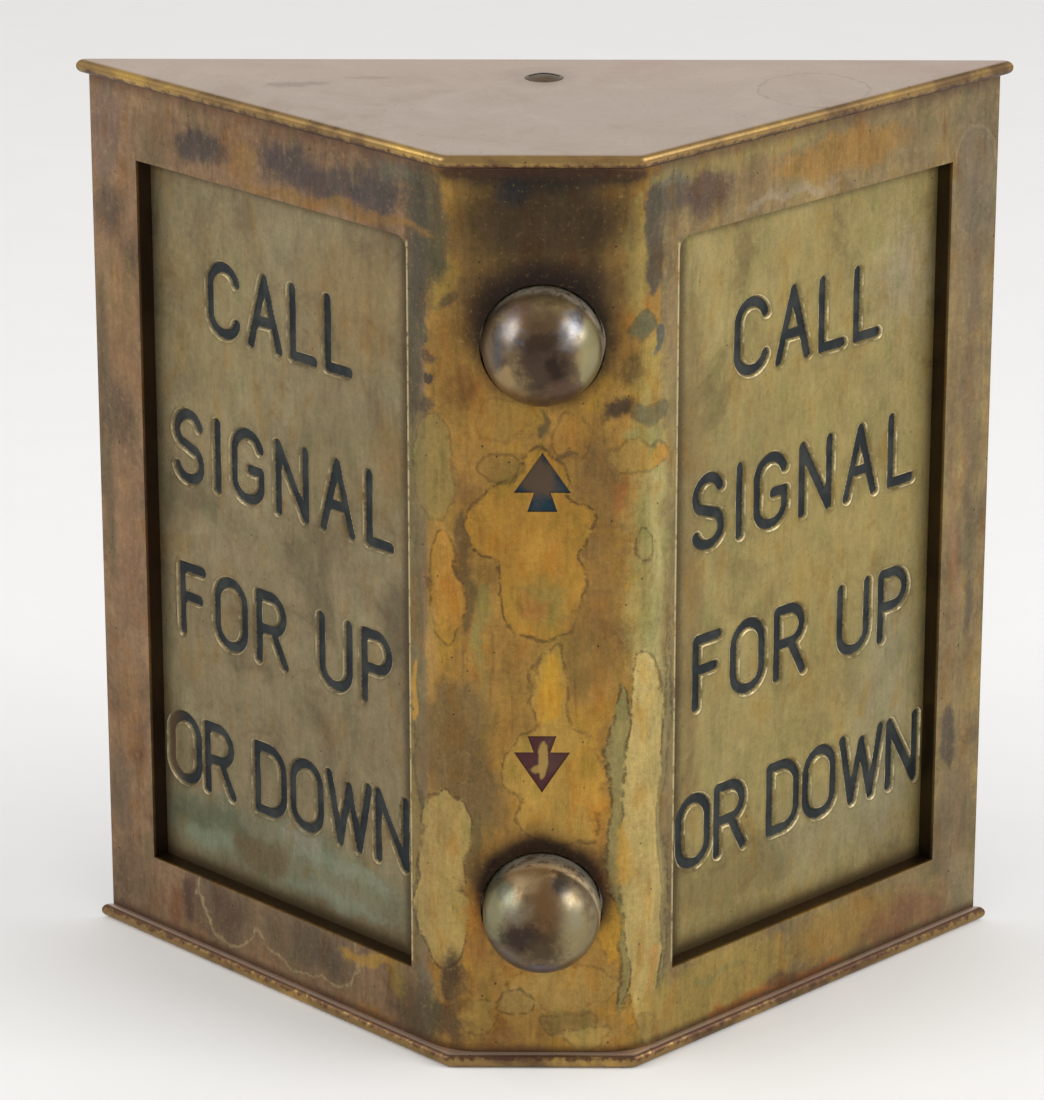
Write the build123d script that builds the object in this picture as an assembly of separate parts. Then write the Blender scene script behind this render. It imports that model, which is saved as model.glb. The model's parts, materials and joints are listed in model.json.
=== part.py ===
from build123d import *
import math
import os

# Wall-mounted lift call station: a wedge-shaped cast brass case with two push buttons.
# Millimetres. +Z is up, the front faces -Y and the back lies on the wall plane y = 0.
# The origin is the centre of the cable entry, on the wall plane at mid-height.

# Driving dimensions: outside
overall_height = 204.0
plate_thickness = 3.2
plate_overhang = 2.0
body_depth = 80.0
facet_half_width = 19.67
side_angle = 45.0
wall = 4.2
corner_radius = 16.0

# Driving dimensions: windows and sign plates, measured along a side face from its front corner
window_start, window_end = 12.2, 98.1
window_bottom, window_top = -82.7, 81.9
sign_thickness = 2.5
sign_side_margin = 3.5
sign_end_margin = 7.0

# Driving dimensions: buttons
button_radius = 12.6
button_hole_radius = 13.1
dome_height = 11.5
button_travel = 4.0
buttons = {"upper": {"z": 61.2, "proud": 0.6}, "lower": {"z": -65.0, "proud": 3.4}}
flange_gap, flange_thickness, flange_width = 0.6, 1.8, 2.4
cap_recess_radius = 8.0
stem_radius = 2.5
running_clearance = 0.05
press_fit = 0.01
arrow_depth = 0.8
arrow_fill_below_face = 0.35

# Driving dimensions: inside
strip_front, strip_thickness, strip_half_width = -60.0, 3.0, 12.0
post_heights = (84.0, 0.0, -84.3)
board_front, board_thickness, board_half_width = -34.0, 6.0, 28.0
board_top, board_bottom = 86.0, -90.0
standoff_spots = [(x, z) for x in (-22.0, 22.0) for z in (79.0, -83.0)]
contact_x, contact_half_width, contact_thickness = 10.0, 3.0, 0.8
contact_pin_height = 6.5
terminal_distance = 11.0
bridge_thickness, bridge_half_width = 1.2, 4.0
bridge_clearance = 0.3
lip = 0.8
nut_thickness, collar_thickness = 2.4, 2.0
spring_wire_radius, spring_coil_radius, spring_turns = 0.45, 5.6, 6
guide_radius, guide_flange = 5.0, 2.0
lug_height = 8.0
back_plate_thickness = 2.5
back_plate_half_width = 88.0
back_plate_end_gap = 0.5
tab_thickness, tab_half_width, tab_depth = 2.5, 15.0, 26.0
cover_screw_y = -16.3
countersink_radius, countersink_depth = 4.25, 2.3
fixing_half_x, fixing_half_z, fixing_hole_radius = 60.0, 75.0, 2.75
cable_entry_radius = 8.0
bushing_radius, bushing_flange_radius, bushing_flange = 10.0, 13.0, 2.5
earth_x, earth_z = 45.0, -45.0
fit_gap = 0.05
screw_clearance = 0.3

body_half_height = overall_height / 2 - plate_thickness
wall_inner_y = -body_depth + wall
slope = math.tan(math.radians(90 - side_angle))
strip_back = strip_front + strip_thickness

# Small fixings: head radius, head height, shank radius
small_head, small_head_height, small_shank = 3.4, 2.2, 1.9
tiny_head, tiny_head_height, tiny_shank = 2.2, 1.4, 1.2


def along_y(radius, start, end, x=0.0, z=0.0):
    """A round bar along Y between two Y values."""
    bar = Cylinder(radius, abs(end - start), rotation=(90, 0, 0))
    return Pos(x, (start + end) / 2, z) * bar


def along_z(radius, start, end, x=0.0, y=0.0):
    """A round bar along Z between two Z values."""
    return Pos(x, y, (start + end) / 2) * Cylinder(radius, abs(end - start))


def block(x_range, y_range, z_range):
    """A box given by its low and high value on each axis."""
    size = [high - low for low, high in (x_range, y_range, z_range)]
    centre = [(high + low) / 2 for low, high in (x_range, y_range, z_range)]
    return Pos(*centre) * Box(*size)


def wedge(offset, bottom, top, radius=0.0):
    """The case's wedge outline, grown by offset on its front and sides, as a prism."""
    half = facet_half_width + offset * math.tan(math.radians(side_angle / 2))
    front = -body_depth - offset
    rear_half = half + (body_depth + offset) * slope
    outline = Polyline((-rear_half, 0), (-half, front), (half, front), (rear_half, 0), close=True)
    face = make_face(outline)
    if radius > 0:
        face = fillet(face.vertices().filter_by_position(Axis.Y, front - 1, front + 1), radius)
    return Pos(0, 0, bottom) * extrude(face, top - bottom, dir=(0, 0, 1))


def on_side(shape, side):
    """Place a shape drawn as X along the face, Y inward and Z up on the right or left side face."""
    placed = Pos(facet_half_width, -body_depth, 0) * Rot(0, 0, side_angle) * shape
    return placed if side == "right" else mirror(placed, Plane.YZ)


def on_both_sides(shape):
    return [on_side(shape, side) for side in ("right", "left")]


def hex_nut(across_flats, start, end, bore, z):
    """A hexagonal nut along Y."""
    across_corners = across_flats / math.cos(math.radians(30))
    prism = extrude(RegularPolygon(across_corners / 2, 6), end - start)
    prism = Pos(0, start, z) * Rot(-90, 0, 0) * prism
    return prism - along_y(bore, start - 1, end + 1, 0, z)


def oval_head(radius, rise, sink, slot_width, slot_depth):
    """An oval countersunk head with its rim at z = 0: a low dome above and a cone below."""
    dome_radius = (radius**2 + rise**2) / (2 * rise)
    dome = Pos(0, 0, rise - dome_radius) * Sphere(dome_radius)
    dome = dome & Pos(0, 0, rise / 2) * Cylinder(radius, rise)
    cone = Pos(0, 0, -sink / 2) * Cone(small_shank, radius, sink)
    slot = Pos(0, 0, rise) * Box(3 * radius, slot_width, 2 * slot_depth)
    return dome + cone - slot


def screw(head_radius, head_height, shank_radius, length):
    """A cheese-head screw pointing down from its seat at z = 0, with its head above."""
    head = along_z(head_radius, 0, head_height)
    head = fillet(head.edges().group_by(Axis.Z)[-1], head_height * 0.3)
    slot = Pos(0, 0, head_height) * Box(3 * head_radius, head_radius * 0.28, head_height * 0.9)
    return head - slot + along_z(shank_radius, -length, 0)


def arrow(direction, depth_range):
    """An arrow with a flared tail, pointing up or down, as a prism into the front facet."""
    if direction == "up":
        points = [(0, 37.9), (5.95, 29.1), (1.75, 29.1), (3.15, 24.9)]
    else:
        points = [(0, -38.2), (6.0, -29.0), (1.8, -29.0), (3.05, -25.3)]
    outline = points + [(-x, z) for x, z in reversed(points[1:])]
    face = make_face(Plane.XZ * Polyline(*outline, close=True))
    near, far = depth_range
    return Pos(0, near, 0) * extrude(face, far - near, dir=(0, 1, 0))


# ---------------------------------------------------------------- case and plates

def window_cut():
    """The window through a side face, with its upper front corner rounded, as a shape for on_side."""
    width, height = window_end - window_start, window_top - window_bottom
    cut = Box(width, 3 * wall, height)
    front_upper = cut.edges().filter_by(Axis.Y).group_by(Axis.X)[0].sort_by(Axis.Z)[-1]
    cut = fillet(front_upper, 3.0)
    centre = ((window_start + window_end) / 2, wall / 2, (window_bottom + window_top) / 2)
    return Pos(*centre) * cut


def sign_screw_spots():
    """Screw places of one sign plate: along the face and in height."""
    ends = (window_bottom - sign_end_margin / 2, window_top + sign_end_margin / 2)
    return [(u, z) for u in (window_start + 8, window_end - 8) for z in ends]


def plate_screw_spots():
    """X and Y of the screws that hold an end plate to the lugs."""
    return [(0.0, -70.0), (-69.0, -16.0), (69.0, -16.0)]


def case_shell():
    """The wedge-shaped wall with its windows, button holes, arrow pockets, lugs and posts."""
    outer = wedge(0, -body_half_height, body_half_height, corner_radius)
    inner = wedge(-wall, -body_half_height - 1, body_half_height + 1, corner_radius - wall)
    shell = outer - inner
    for end in (-1, 1):
        lug_range = sorted((end * body_half_height, end * (body_half_height - lug_height)))
        front_lug = block((-8, 8), (wall_inner_y - 2, -64), lug_range)
        side_lugs = [block(sorted((s * 62, s * 90)), (-22, -10), lug_range) for s in (-1, 1)]
        for lug in [front_lug, *side_lugs]:
            shell += lug & outer
        for x, y in plate_screw_spots():
            shell -= along_z(small_shank + screw_clearance, lug_range[0] - 1, lug_range[1] + 1, x, y)
    for z in post_heights:
        shell += along_y(4.0, wall_inner_y - 1, strip_front, 0, z)
        shell -= along_y(small_shank + fit_gap, wall_inner_y + 3, strip_front + 1, 0, z)
    for cut in on_both_sides(window_cut()):
        shell -= cut
    for u, z in sign_screw_spots():
        blind = along_y(tiny_shank + fit_gap, 1.2, wall + 1, u, z)
        for cut in on_both_sides(blind):
            shell -= cut
    for button in buttons.values():
        shell -= along_y(button_hole_radius, -body_depth - 1, wall_inner_y + 1, 0, button["z"])
    for direction in ("up", "down"):
        shell -= arrow(direction, (-body_depth - 1, -body_depth + arrow_depth))
    return shell


def end_plate(end):
    """A top (end = 1) or bottom (end = -1) plate with round front and side edges."""
    low, high = sorted((end * overall_height / 2, end * body_half_height))
    plate = wedge(plate_overhang, low, high, 3.0)
    rim = [e for e in plate.edges() if e.center().Y < -0.5 and abs(e.center().Z - (low + high) / 2) > 1]
    plate = fillet(rim, plate_thickness / 2 - 0.04)
    through = along_z(small_shank + screw_clearance, low - 1, high + 1, 0, cover_screw_y)
    sink = Pos(0, 0, -countersink_depth / 2) * Cone(small_shank, countersink_radius, countersink_depth)
    turn = Rot(0, 0, 0) if end > 0 else Rot(180, 0, 0)
    plate -= through + Pos(0, cover_screw_y, end * overall_height / 2) * turn * sink
    inner_face = end * body_half_height
    for x, y in plate_screw_spots():
        plate -= along_z(small_shank + fit_gap, inner_face - end, inner_face + end * 2.2, x, y)
    return plate


def plate_screws(end):
    """Three screws that hold an end plate from inside the case."""
    seat = end * (body_half_height - lug_height)
    one = screw(small_head, small_head_height, small_shank, lug_height + 2.0)
    turn = Rot(180, 0, 0) if end > 0 else Rot(0, 0, 0)
    return [Pos(x, y, seat) * turn * one for x, y in plate_screw_spots()]


def cover_screw(end):
    """The screw that holds the case to a tab of the back plate; the lower one lies flush."""
    length = 8.0
    if end > 0:
        head = oval_head(4.1, 0.9, 2.2, 0.9, 0.7)
        place = Pos(0, cover_screw_y, overall_height / 2)
    else:
        head = oval_head(4.1, 0.05, 2.2, 0.9, 0.7)
        place = Pos(0, cover_screw_y, -overall_height / 2 + 0.1) * Rot(180, 0, 0)
    return place * (head + along_z(small_shank, -length, -2.2))


def sign_plate(side):
    """A flat plate behind a window, resting on the inside of the side wall."""
    low_u, high_u = window_start - sign_side_margin, window_end + sign_side_margin
    low_z, high_z = window_bottom - sign_end_margin, window_top + sign_end_margin
    plate = block((low_u, high_u), (wall, wall + sign_thickness), (low_z, high_z))
    for u, z in sign_screw_spots():
        plate -= along_y(tiny_shank + 0.2, wall - 1, wall + sign_thickness + 1, u, z)
    return on_side(plate, side)


def sign_plate_screws(side):
    """Four small screws through the back of a sign plate into the case wall."""
    one = Rot(-90, 0, 0) * screw(tiny_head, tiny_head_height, tiny_shank, sign_thickness + 2.6)
    return [on_side(Pos(u, wall + sign_thickness, z) * one, side) for u, z in sign_screw_spots()]


def arrow_fill(direction):
    """The filler in an arrow pocket, a little below the front face."""
    return arrow(direction, (-body_depth + arrow_fill_below_face, -body_depth + arrow_depth))


# ---------------------------------------------------------------- buttons

def button_parts(name):
    """The pieces that travel with one button, and its spring and guide bush."""
    z, proud = buttons[name]["z"], buttons[name]["proud"]
    rim_y = -body_depth - proud
    flange_front = wall_inner_y + flange_gap
    flange_back = flange_front + flange_thickness
    cap_back = flange_back + 1.2
    recess_front = -body_depth + 1.5

    dome = scale(Sphere(button_radius), by=(1, dome_height / button_radius, 1))
    front_half = block((-20, 20), (-20, 0), (-20, 20))
    cap = Pos(0, rim_y, z) * (dome & front_half)
    cap += along_y(button_radius, rim_y, cap_back, 0, z)
    cap += along_y(button_radius + flange_width, flange_front, flange_back, 0, z)
    cap -= along_y(cap_recess_radius, recess_front, cap_back + 1, 0, z)
    cap -= along_y(stem_radius, recess_front - 6, recess_front + 1, 0, z)

    pin_tips = board_front - contact_pin_height
    bridge_back = pin_tips - button_travel - bridge_clearance
    bridge_front = bridge_back - bridge_thickness
    nut_back = bridge_back + lip + nut_thickness
    stem = along_y(stem_radius, recess_front - 5.9, nut_back + lip, 0, z)

    bush_bore = stem_radius + press_fit
    bush_radius, bush_lip_radius = 4.5, 6.0
    bush = along_y(bush_radius, bridge_front, bridge_back, 0, z)
    bush += along_y(bush_lip_radius, bridge_front - lip, bridge_front, 0, z)
    bush += along_y(bush_lip_radius, bridge_back, bridge_back + lip, 0, z)
    bush -= along_y(bush_bore, bridge_front - 2, bridge_back + 2, 0, z)

    reach = contact_x + bridge_half_width
    bridge = block((-reach, reach), (bridge_front, bridge_back), (z - bridge_half_width, z + bridge_half_width))
    bridge += along_y(bush_lip_radius + 1, bridge_front, bridge_back, 0, z)
    bridge -= along_y(bush_radius + 2 * press_fit, bridge_front - 1, bridge_back + 1, 0, z)

    nut = hex_nut(7.0, bridge_back + lip, nut_back, bush_bore, z)
    collar = along_y(4.2, bridge_front - lip - collar_thickness, bridge_front - lip, 0, z)
    collar -= along_y(bush_bore, bridge_front - 4, bridge_front, 0, z)

    guide_front = strip_front - guide_flange
    guide = along_y(guide_radius - 2 * press_fit, strip_front, strip_back + 2, 0, z)
    guide += along_y(guide_radius + 2, guide_front, strip_front, 0, z)
    guide -= along_y(stem_radius + running_clearance, guide_front - 1, strip_back + 3, 0, z)

    spring_start = recess_front + fit_gap + spring_wire_radius
    spring_length = guide_front - fit_gap - spring_wire_radius - spring_start
    path = Helix(spring_length / spring_turns, spring_length, spring_coil_radius)
    section = Plane(origin=path @ 0, z_dir=path % 0) * Circle(spring_wire_radius)
    spring = Pos(0, spring_start, z) * Rot(-90, 0, 0) * sweep(section, path=path, is_frenet=True)

    return {
        f"{name}_button_cap": cap,
        f"{name}_button_stem": stem,
        f"{name}_stem_collar": collar,
        f"{name}_insulating_bush": bush,
        f"{name}_contact_bridge": bridge,
        f"{name}_stem_nut": nut,
        f"{name}_guide_bush": guide,
        f"{name}_return_spring": spring,
    }


def guide_strip():
    """The strip behind the front facet that carries both guide bushes."""
    bar = block((-strip_half_width, strip_half_width), (strip_front, strip_back), (-91.5, 89.5))
    for button in buttons.values():
        bar -= along_y(guide_radius, strip_front - 1, strip_back + 1, 0, button["z"])
    for z in post_heights:
        bar -= along_y(small_shank + screw_clearance, strip_front - 1, strip_back + 1, 0, z)
    return bar


def guide_strip_screws():
    """Three screws through the guide strip into the posts of the case."""
    one = Rot(-90, 0, 0) * screw(small_head, small_head_height, small_shank, strip_thickness + 8)
    return [Pos(0, strip_back, z) * one for z in post_heights]


# ---------------------------------------------------------------- contacts and back

def contact_strip(x, z, end):
    """A fixed contact: a flat strip on the board with a raised, round contact pin."""
    thickness = (board_front - contact_thickness, board_front)
    strip = block((x - contact_half_width, x + contact_half_width), thickness,
                  sorted((z - end * 5, z + end * 15)))
    strip += along_y(2.2, board_front - contact_pin_height, board_front, x, z)
    return strip - along_y(1.7, board_front - 2, board_front + 1, x, z + end * terminal_distance)


def terminal_spots(name):
    """X and Z of a button's two contact pins, and which way their strips run: -1 down, 1 up."""
    z = buttons[name]["z"]
    end = -1 if name == "upper" else 1
    return [(x, z, end) for x in (-contact_x, contact_x)]


def fixed_contacts(name):
    """The left and right contact strip of one button."""
    return [contact_strip(x, z, end) for x, z, end in terminal_spots(name)]


def terminal_screws():
    """One clamping screw in each contact strip, threaded through the board."""
    one = Rot(90, 0, 0) * screw(2.9, 2.4, 1.6, board_thickness + 3)
    spots = terminal_spots("upper") + terminal_spots("lower")
    return [Pos(x, board_front - contact_thickness, z + end * terminal_distance) * one for x, z, end in spots]


def common_link():
    """A flat strip that joins the left contacts of both buttons."""
    top = buttons["upper"]["z"] - 15
    bottom = buttons["lower"]["z"] + 15
    return block((-contact_x - contact_half_width, -contact_x + contact_half_width),
                 (board_front - contact_thickness, board_front), (bottom, top))


def contact_board():
    """The insulating board that carries the fixed contacts."""
    board = block((-board_half_width, board_half_width), (board_front, board_front + board_thickness),
                  (board_bottom, board_top))
    for x, z in standoff_spots:
        board -= along_y(2.2, board_front - 1, 0, x, z)
    for x, z, end in terminal_spots("upper") + terminal_spots("lower"):
        board -= along_y(1.65, board_front - 1, 0, x, z + end * terminal_distance)
    return board


def standoffs():
    """Four round pillars between the back plate and the board, tapped at both ends."""
    start, end = board_front + board_thickness, -back_plate_thickness
    pillars = []
    for x, z in standoff_spots:
        pillar = along_y(4.5, start, end, x, z)
        pillar -= along_y(small_shank + fit_gap, start - 1, start + 9, x, z)
        pillar -= along_y(small_shank + fit_gap, end - 7, end + 1, x, z)
        pillars.append(pillar)
    return pillars


def board_screws():
    """Four screws through the board into the pillars."""
    one = Rot(90, 0, 0) * screw(small_head, small_head_height, small_shank, board_thickness + 8)
    return [Pos(x, board_front, z) * one for x, z in standoff_spots]


def standoff_screws():
    """Countersunk screws that hold the pillars, flush with the back plate's rear face."""
    head = Rot(-90, 0, 0) * Pos(0, 0, -1) * Cone(small_shank, 3.5, 2)
    slot = Box(10, 1.6, 0.9)
    one = head + along_y(small_shank, -8, -2) - slot
    return [Pos(x, 0, z) * one for x, z in standoff_spots]


def back_plate():
    """A flat plate behind the case, with holes for the wall screws, the pillars and the cable."""
    plate_half_height = body_half_height - back_plate_end_gap
    plate = block((-back_plate_half_width, back_plate_half_width), (-back_plate_thickness, 0),
                  (-plate_half_height, plate_half_height))
    for x, z in standoff_spots:
        plate -= along_y(small_shank + 0.1, -back_plate_thickness - 1, 1, x, z)
        plate -= Pos(x, -1, z) * Rot(-90, 0, 0) * Cone(small_shank + 0.05, 3.6, 2)
    for x in (-fixing_half_x, fixing_half_x):
        for z in (-fixing_half_z, fixing_half_z):
            plate -= along_y(fixing_hole_radius, -back_plate_thickness - 1, 1, x, z)
    plate -= along_y(bushing_radius + 2 * press_fit, -back_plate_thickness - 1, 1)
    plate -= along_y(small_shank + fit_gap, -back_plate_thickness - 1, 1, earth_x, earth_z)
    return plate


def cover_tabs():
    """Two angle brackets welded to the back plate, tapped for the screws through the end plates."""
    brackets = []
    for end in (-1, 1):
        reach = end * (body_half_height - back_plate_end_gap)
        plate_front = -back_plate_thickness
        across = (-tab_half_width, tab_half_width)
        shelf = block(across, (-tab_depth, plate_front), sorted((reach, reach - end * tab_thickness)))
        shelf = fillet(shelf.edges().filter_by(Axis.Z).group_by(Axis.Y)[0], 4)
        foot = block(across, (plate_front - tab_thickness, plate_front), sorted((reach, reach - end * 12)))
        bracket = shelf + foot
        tapped = sorted((reach + end, reach - end * (tab_thickness + 1)))
        bracket -= along_z(small_shank + fit_gap, *tapped, 0, cover_screw_y)
        brackets.append(bracket)
    return brackets


def cable_bushing():
    """The insulating bushing in the cable entry, with a round flange on the inside."""
    ring = along_y(bushing_radius, -back_plate_thickness, 0)
    ring += along_y(bushing_flange_radius, -back_plate_thickness - bushing_flange, -back_plate_thickness)
    ring = fillet(ring.edges().group_by(Axis.Y)[0], 1.0)
    return ring - along_y(cable_entry_radius, -10, 1)


def earth_screw():
    """The earth screw of the back plate, ending inside the plate's thickness."""
    one = Rot(90, 0, 0) * screw(small_head, small_head_height, small_shank, back_plate_thickness - 0.1)
    return Pos(earth_x, -back_plate_thickness, earth_z) * one


def build_all():
    """Every piece of the station by its name."""
    nodes = {
        "case_shell": case_shell(),
        "top_plate": end_plate(1),
        "bottom_plate": end_plate(-1),
        "top_plate_screws": plate_screws(1),
        "bottom_plate_screws": plate_screws(-1),
        "top_cover_screw": cover_screw(1),
        "bottom_cover_screw": cover_screw(-1),
        "up_arrow_fill": arrow_fill("up"),
        "down_arrow_fill": arrow_fill("down"),
        "guide_strip": guide_strip(),
        "guide_strip_screws": guide_strip_screws(),
        "contact_board": contact_board(),
        "board_screws": board_screws(),
        "board_standoffs": standoffs(),
        "standoff_screws": standoff_screws(),
        "common_link": common_link(),
        "terminal_screws": terminal_screws(),
        "back_plate": back_plate(),
        "cover_tabs": cover_tabs(),
        "cable_bushing": cable_bushing(),
        "earth_screw": earth_screw(),
    }
    for side in ("left", "right"):
        nodes[f"{side}_sign_plate"] = sign_plate(side)
        nodes[f"{side}_sign_screws"] = sign_plate_screws(side)
    for name in buttons:
        nodes.update(button_parts(name))
        nodes[f"{name}_fixed_contacts"] = fixed_contacts(name)
    return nodes


os.makedirs("parts", exist_ok=True)
for node, shape in build_all().items():
    solids = shape if isinstance(shape, list) else shape.solids()
    piece = Compound(children=[s.solid() for s in solids]) if len(solids) > 1 else solids[0].solid()
    piece.label = node
    export_step(piece, f"parts/{node}.step")
    print(f"{node}: {len(solids)} solid(s), {sum(s.volume for s in solids) / 1000:.2f} cm3")
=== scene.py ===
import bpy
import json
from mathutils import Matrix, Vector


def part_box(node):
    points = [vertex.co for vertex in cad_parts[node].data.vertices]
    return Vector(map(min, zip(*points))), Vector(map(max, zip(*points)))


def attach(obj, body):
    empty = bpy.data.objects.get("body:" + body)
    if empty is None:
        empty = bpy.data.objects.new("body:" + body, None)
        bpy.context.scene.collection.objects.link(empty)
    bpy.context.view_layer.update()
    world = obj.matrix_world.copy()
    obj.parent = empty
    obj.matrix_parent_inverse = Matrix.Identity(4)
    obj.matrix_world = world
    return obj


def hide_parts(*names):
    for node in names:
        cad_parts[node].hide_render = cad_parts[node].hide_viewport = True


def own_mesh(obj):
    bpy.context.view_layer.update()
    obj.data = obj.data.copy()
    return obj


bl_info = {
    "name": "Lift call station",
    "version": (1, 0, 0),
    "blender": (4, 5, 0),
    "location": "3D View > Sidebar > Call station",
    "description": "Finishes a brass lift call station around its fixed frame",
    "category": "Object",
}

import json
import math

import bmesh
import bpy
import numpy as np
from bpy.props import FloatProperty, FloatVectorProperty, PointerProperty

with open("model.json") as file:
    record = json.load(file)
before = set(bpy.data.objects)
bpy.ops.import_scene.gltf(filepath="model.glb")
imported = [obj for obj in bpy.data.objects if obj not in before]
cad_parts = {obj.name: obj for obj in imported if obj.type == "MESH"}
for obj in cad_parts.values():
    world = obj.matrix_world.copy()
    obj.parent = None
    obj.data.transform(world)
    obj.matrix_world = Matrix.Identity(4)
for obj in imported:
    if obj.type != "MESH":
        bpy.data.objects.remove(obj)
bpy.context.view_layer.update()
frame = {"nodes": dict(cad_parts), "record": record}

MM = 0.001
CASE_LOW, CASE_HIGH = (np.array(corner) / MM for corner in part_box("case_shell"))
SIGN_LOW, SIGN_HIGH = (np.array(corner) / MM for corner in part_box("right_sign_plate"))
FACE_Y = CASE_LOW[1]
CASE_TOP = CASE_HIGH[2]
FACET_HALF = CASE_HIGH[0] + FACE_Y
SIDE = math.sqrt(0.5)
BUTTON_BOXES = {name: [np.array(corner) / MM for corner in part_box(f"{name}_button_cap")]
                for name in ("upper", "lower")}

# Millimetres. The laps are what the window's frame hides of a sign at each side and at each end.
# Where a rounded front corner ends and where a window starts are given as X past the facet's edge.
DOME_HEIGHT = 11.5
CASE_WALL = 4.2
SIGN_THICKNESS = 2.5
SIGN_LAP = 3.5
SIGN_END_LAP = 7.0
CORNER_REACH = 6.2
WINDOW_START = 8.5
WINDOW_HALF_HEIGHT = 82.0
SIGN_ROWS = (("CALL", 0.30), ("SIGNAL", 0.37), ("FOR UP", 0.32), ("OR DOWN", 0.20))


def tint(code):
    """Linear colour of a six-digit display colour."""
    values = np.array([int(code[i:i + 2], 16) for i in (0, 2, 4)]) / 255
    linear = np.where(values <= 0.04045, values / 12.92, ((values + 0.055) / 1.055) ** 2.4)
    return (*linear, 1.0)


# ---------------------------------------------------------------- sizes and colours

def length(name, description, millimetres):
    return FloatProperty(name=name, description=description, default=millimetres * MM, unit="LENGTH")


def finish_colour(name, description, code):
    return FloatVectorProperty(name=name, description=description, subtype="COLOR", size=4,
                               default=tint(code))


class StationSizes(bpy.types.PropertyGroup):
    """Sizes that are cut or turned only in the finished surfaces."""
    letter_height: length("Letter height", "Height of the engraved capitals", 15.1)
    row_pitch: length("Row pitch", "Distance between two engraved rows", 36.3)
    first_row: length("First row", "Height of the top row's middle above the sign's middle", 53.9)
    stroke: length("Stroke", "Half width of an engraved stroke", 1.2)
    groove_depth: length("Groove depth", "Depth of an engraved stroke", 0.75)
    burr: length("Burr", "Height of the raised lip beside an engraved stroke", 0.22)
    edge_round: length("Edge round", "Width of the worn edges of the case", 0.4)


class StationColours(bpy.types.PropertyGroup):
    """The finish colours that a user would change."""
    front_brass: finish_colour("Front brass", "Golden brown of the front facet", "977339")
    left_brass: finish_colour("Left brass", "Pinkish brown of the left side", "866a4e")
    right_brass: finish_colour("Right brass", "Olive brown of the right side", "86724e")
    plate_brass: finish_colour("End plate brass", "Pale warm face of the end plates", "c1ae9f")
    sign_brass: finish_colour("Sign brass", "Olive grey of the right sign plate", "988858")
    left_sign_brass: finish_colour("Left sign brass", "Darker grey of the left sign plate", "85775a")
    button_brass: finish_colour("Button brass", "Dark brown of the handled domes", "6e5c44")
    filler: finish_colour("Filler", "Dark filler in the engraving", "25292b")


# ---------------------------------------------------------------- shader helpers

def put(tree, kind, links=None, **settings):
    """Add a node; links maps a socket's name or number to a value or to another node's output."""
    node = tree.nodes.new(kind)
    for key, value in settings.items():
        setattr(node, key, value)
    for key, value in (links or {}).items():
        socket = node.inputs[key]
        if isinstance(value, bpy.types.NodeSocket):
            tree.links.new(value, socket)
        else:
            socket.default_value = value
    return node


def calc(tree, operation, *values):
    """One Math node's output."""
    return put(tree, "ShaderNodeMath", dict(enumerate(values)), operation=operation).outputs[0]


def times(tree, first, second):
    return calc(tree, "MULTIPLY", first, second)


def size_of(tree, value):
    """The value without its sign."""
    return calc(tree, "ABSOLUTE", value)


def split(tree, vector):
    """The three parts of a vector."""
    return put(tree, "ShaderNodeSeparateXYZ", {0: vector}).outputs


def vector_calc(tree, operation, *values):
    node = put(tree, "ShaderNodeVectorMath", dict(enumerate(values)), operation=operation)
    return node.outputs["Value" if operation in ("LENGTH", "DOT_PRODUCT") else "Vector"]


def scale_vector(tree, vector, factor):
    return put(tree, "ShaderNodeVectorMath", {0: vector, "Scale": factor}, operation="SCALE").outputs[0]


def blend_colours(tree, factor, first, second, mode="MIX"):
    node = put(tree, "ShaderNodeMix", data_type="RGBA", blend_type=mode)
    for socket, value in ((node.inputs[0], factor), (node.inputs[6], first), (node.inputs[7], second)):
        if isinstance(value, bpy.types.NodeSocket):
            tree.links.new(value, socket)
        else:
            socket.default_value = value
    return node.outputs[2]


def ramp_value(tree, value, low, high, start=0.0, end=1.0):
    """Smoothly carries low..high onto start..end."""
    links = {"Value": value, "From Min": low, "From Max": high, "To Min": start, "To Max": end}
    return put(tree, "ShaderNodeMapRange", links, interpolation_type="SMOOTHSTEP").outputs[0]


def noise(tree, place, scale, detail=3.0, roughness=0.55, distortion=0.0, stretch=None):
    """Noise over a place in millimetres; scale is in cycles per millimetre."""
    if stretch:
        place = vector_calc(tree, "MULTIPLY", place, stretch)
    return put(tree, "ShaderNodeTexNoise", {"Vector": place, "Scale": scale, "Detail": detail,
                                            "Roughness": roughness, "Distortion": distortion}).outputs


def new_group(name, inputs, outputs):
    """An empty shader node group with typed sockets; returns the tree, its inputs and its output node."""
    tree = bpy.data.node_groups.new(name, "ShaderNodeTree")
    for in_out, sockets in (("INPUT", inputs), ("OUTPUT", outputs)):
        for label, kind in sockets:
            tree.interface.new_socket(name=label, in_out=in_out, socket_type=f"NodeSocket{kind}")
    return tree, tree.nodes.new("NodeGroupInput").outputs, tree.nodes.new("NodeGroupOutput").inputs


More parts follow.
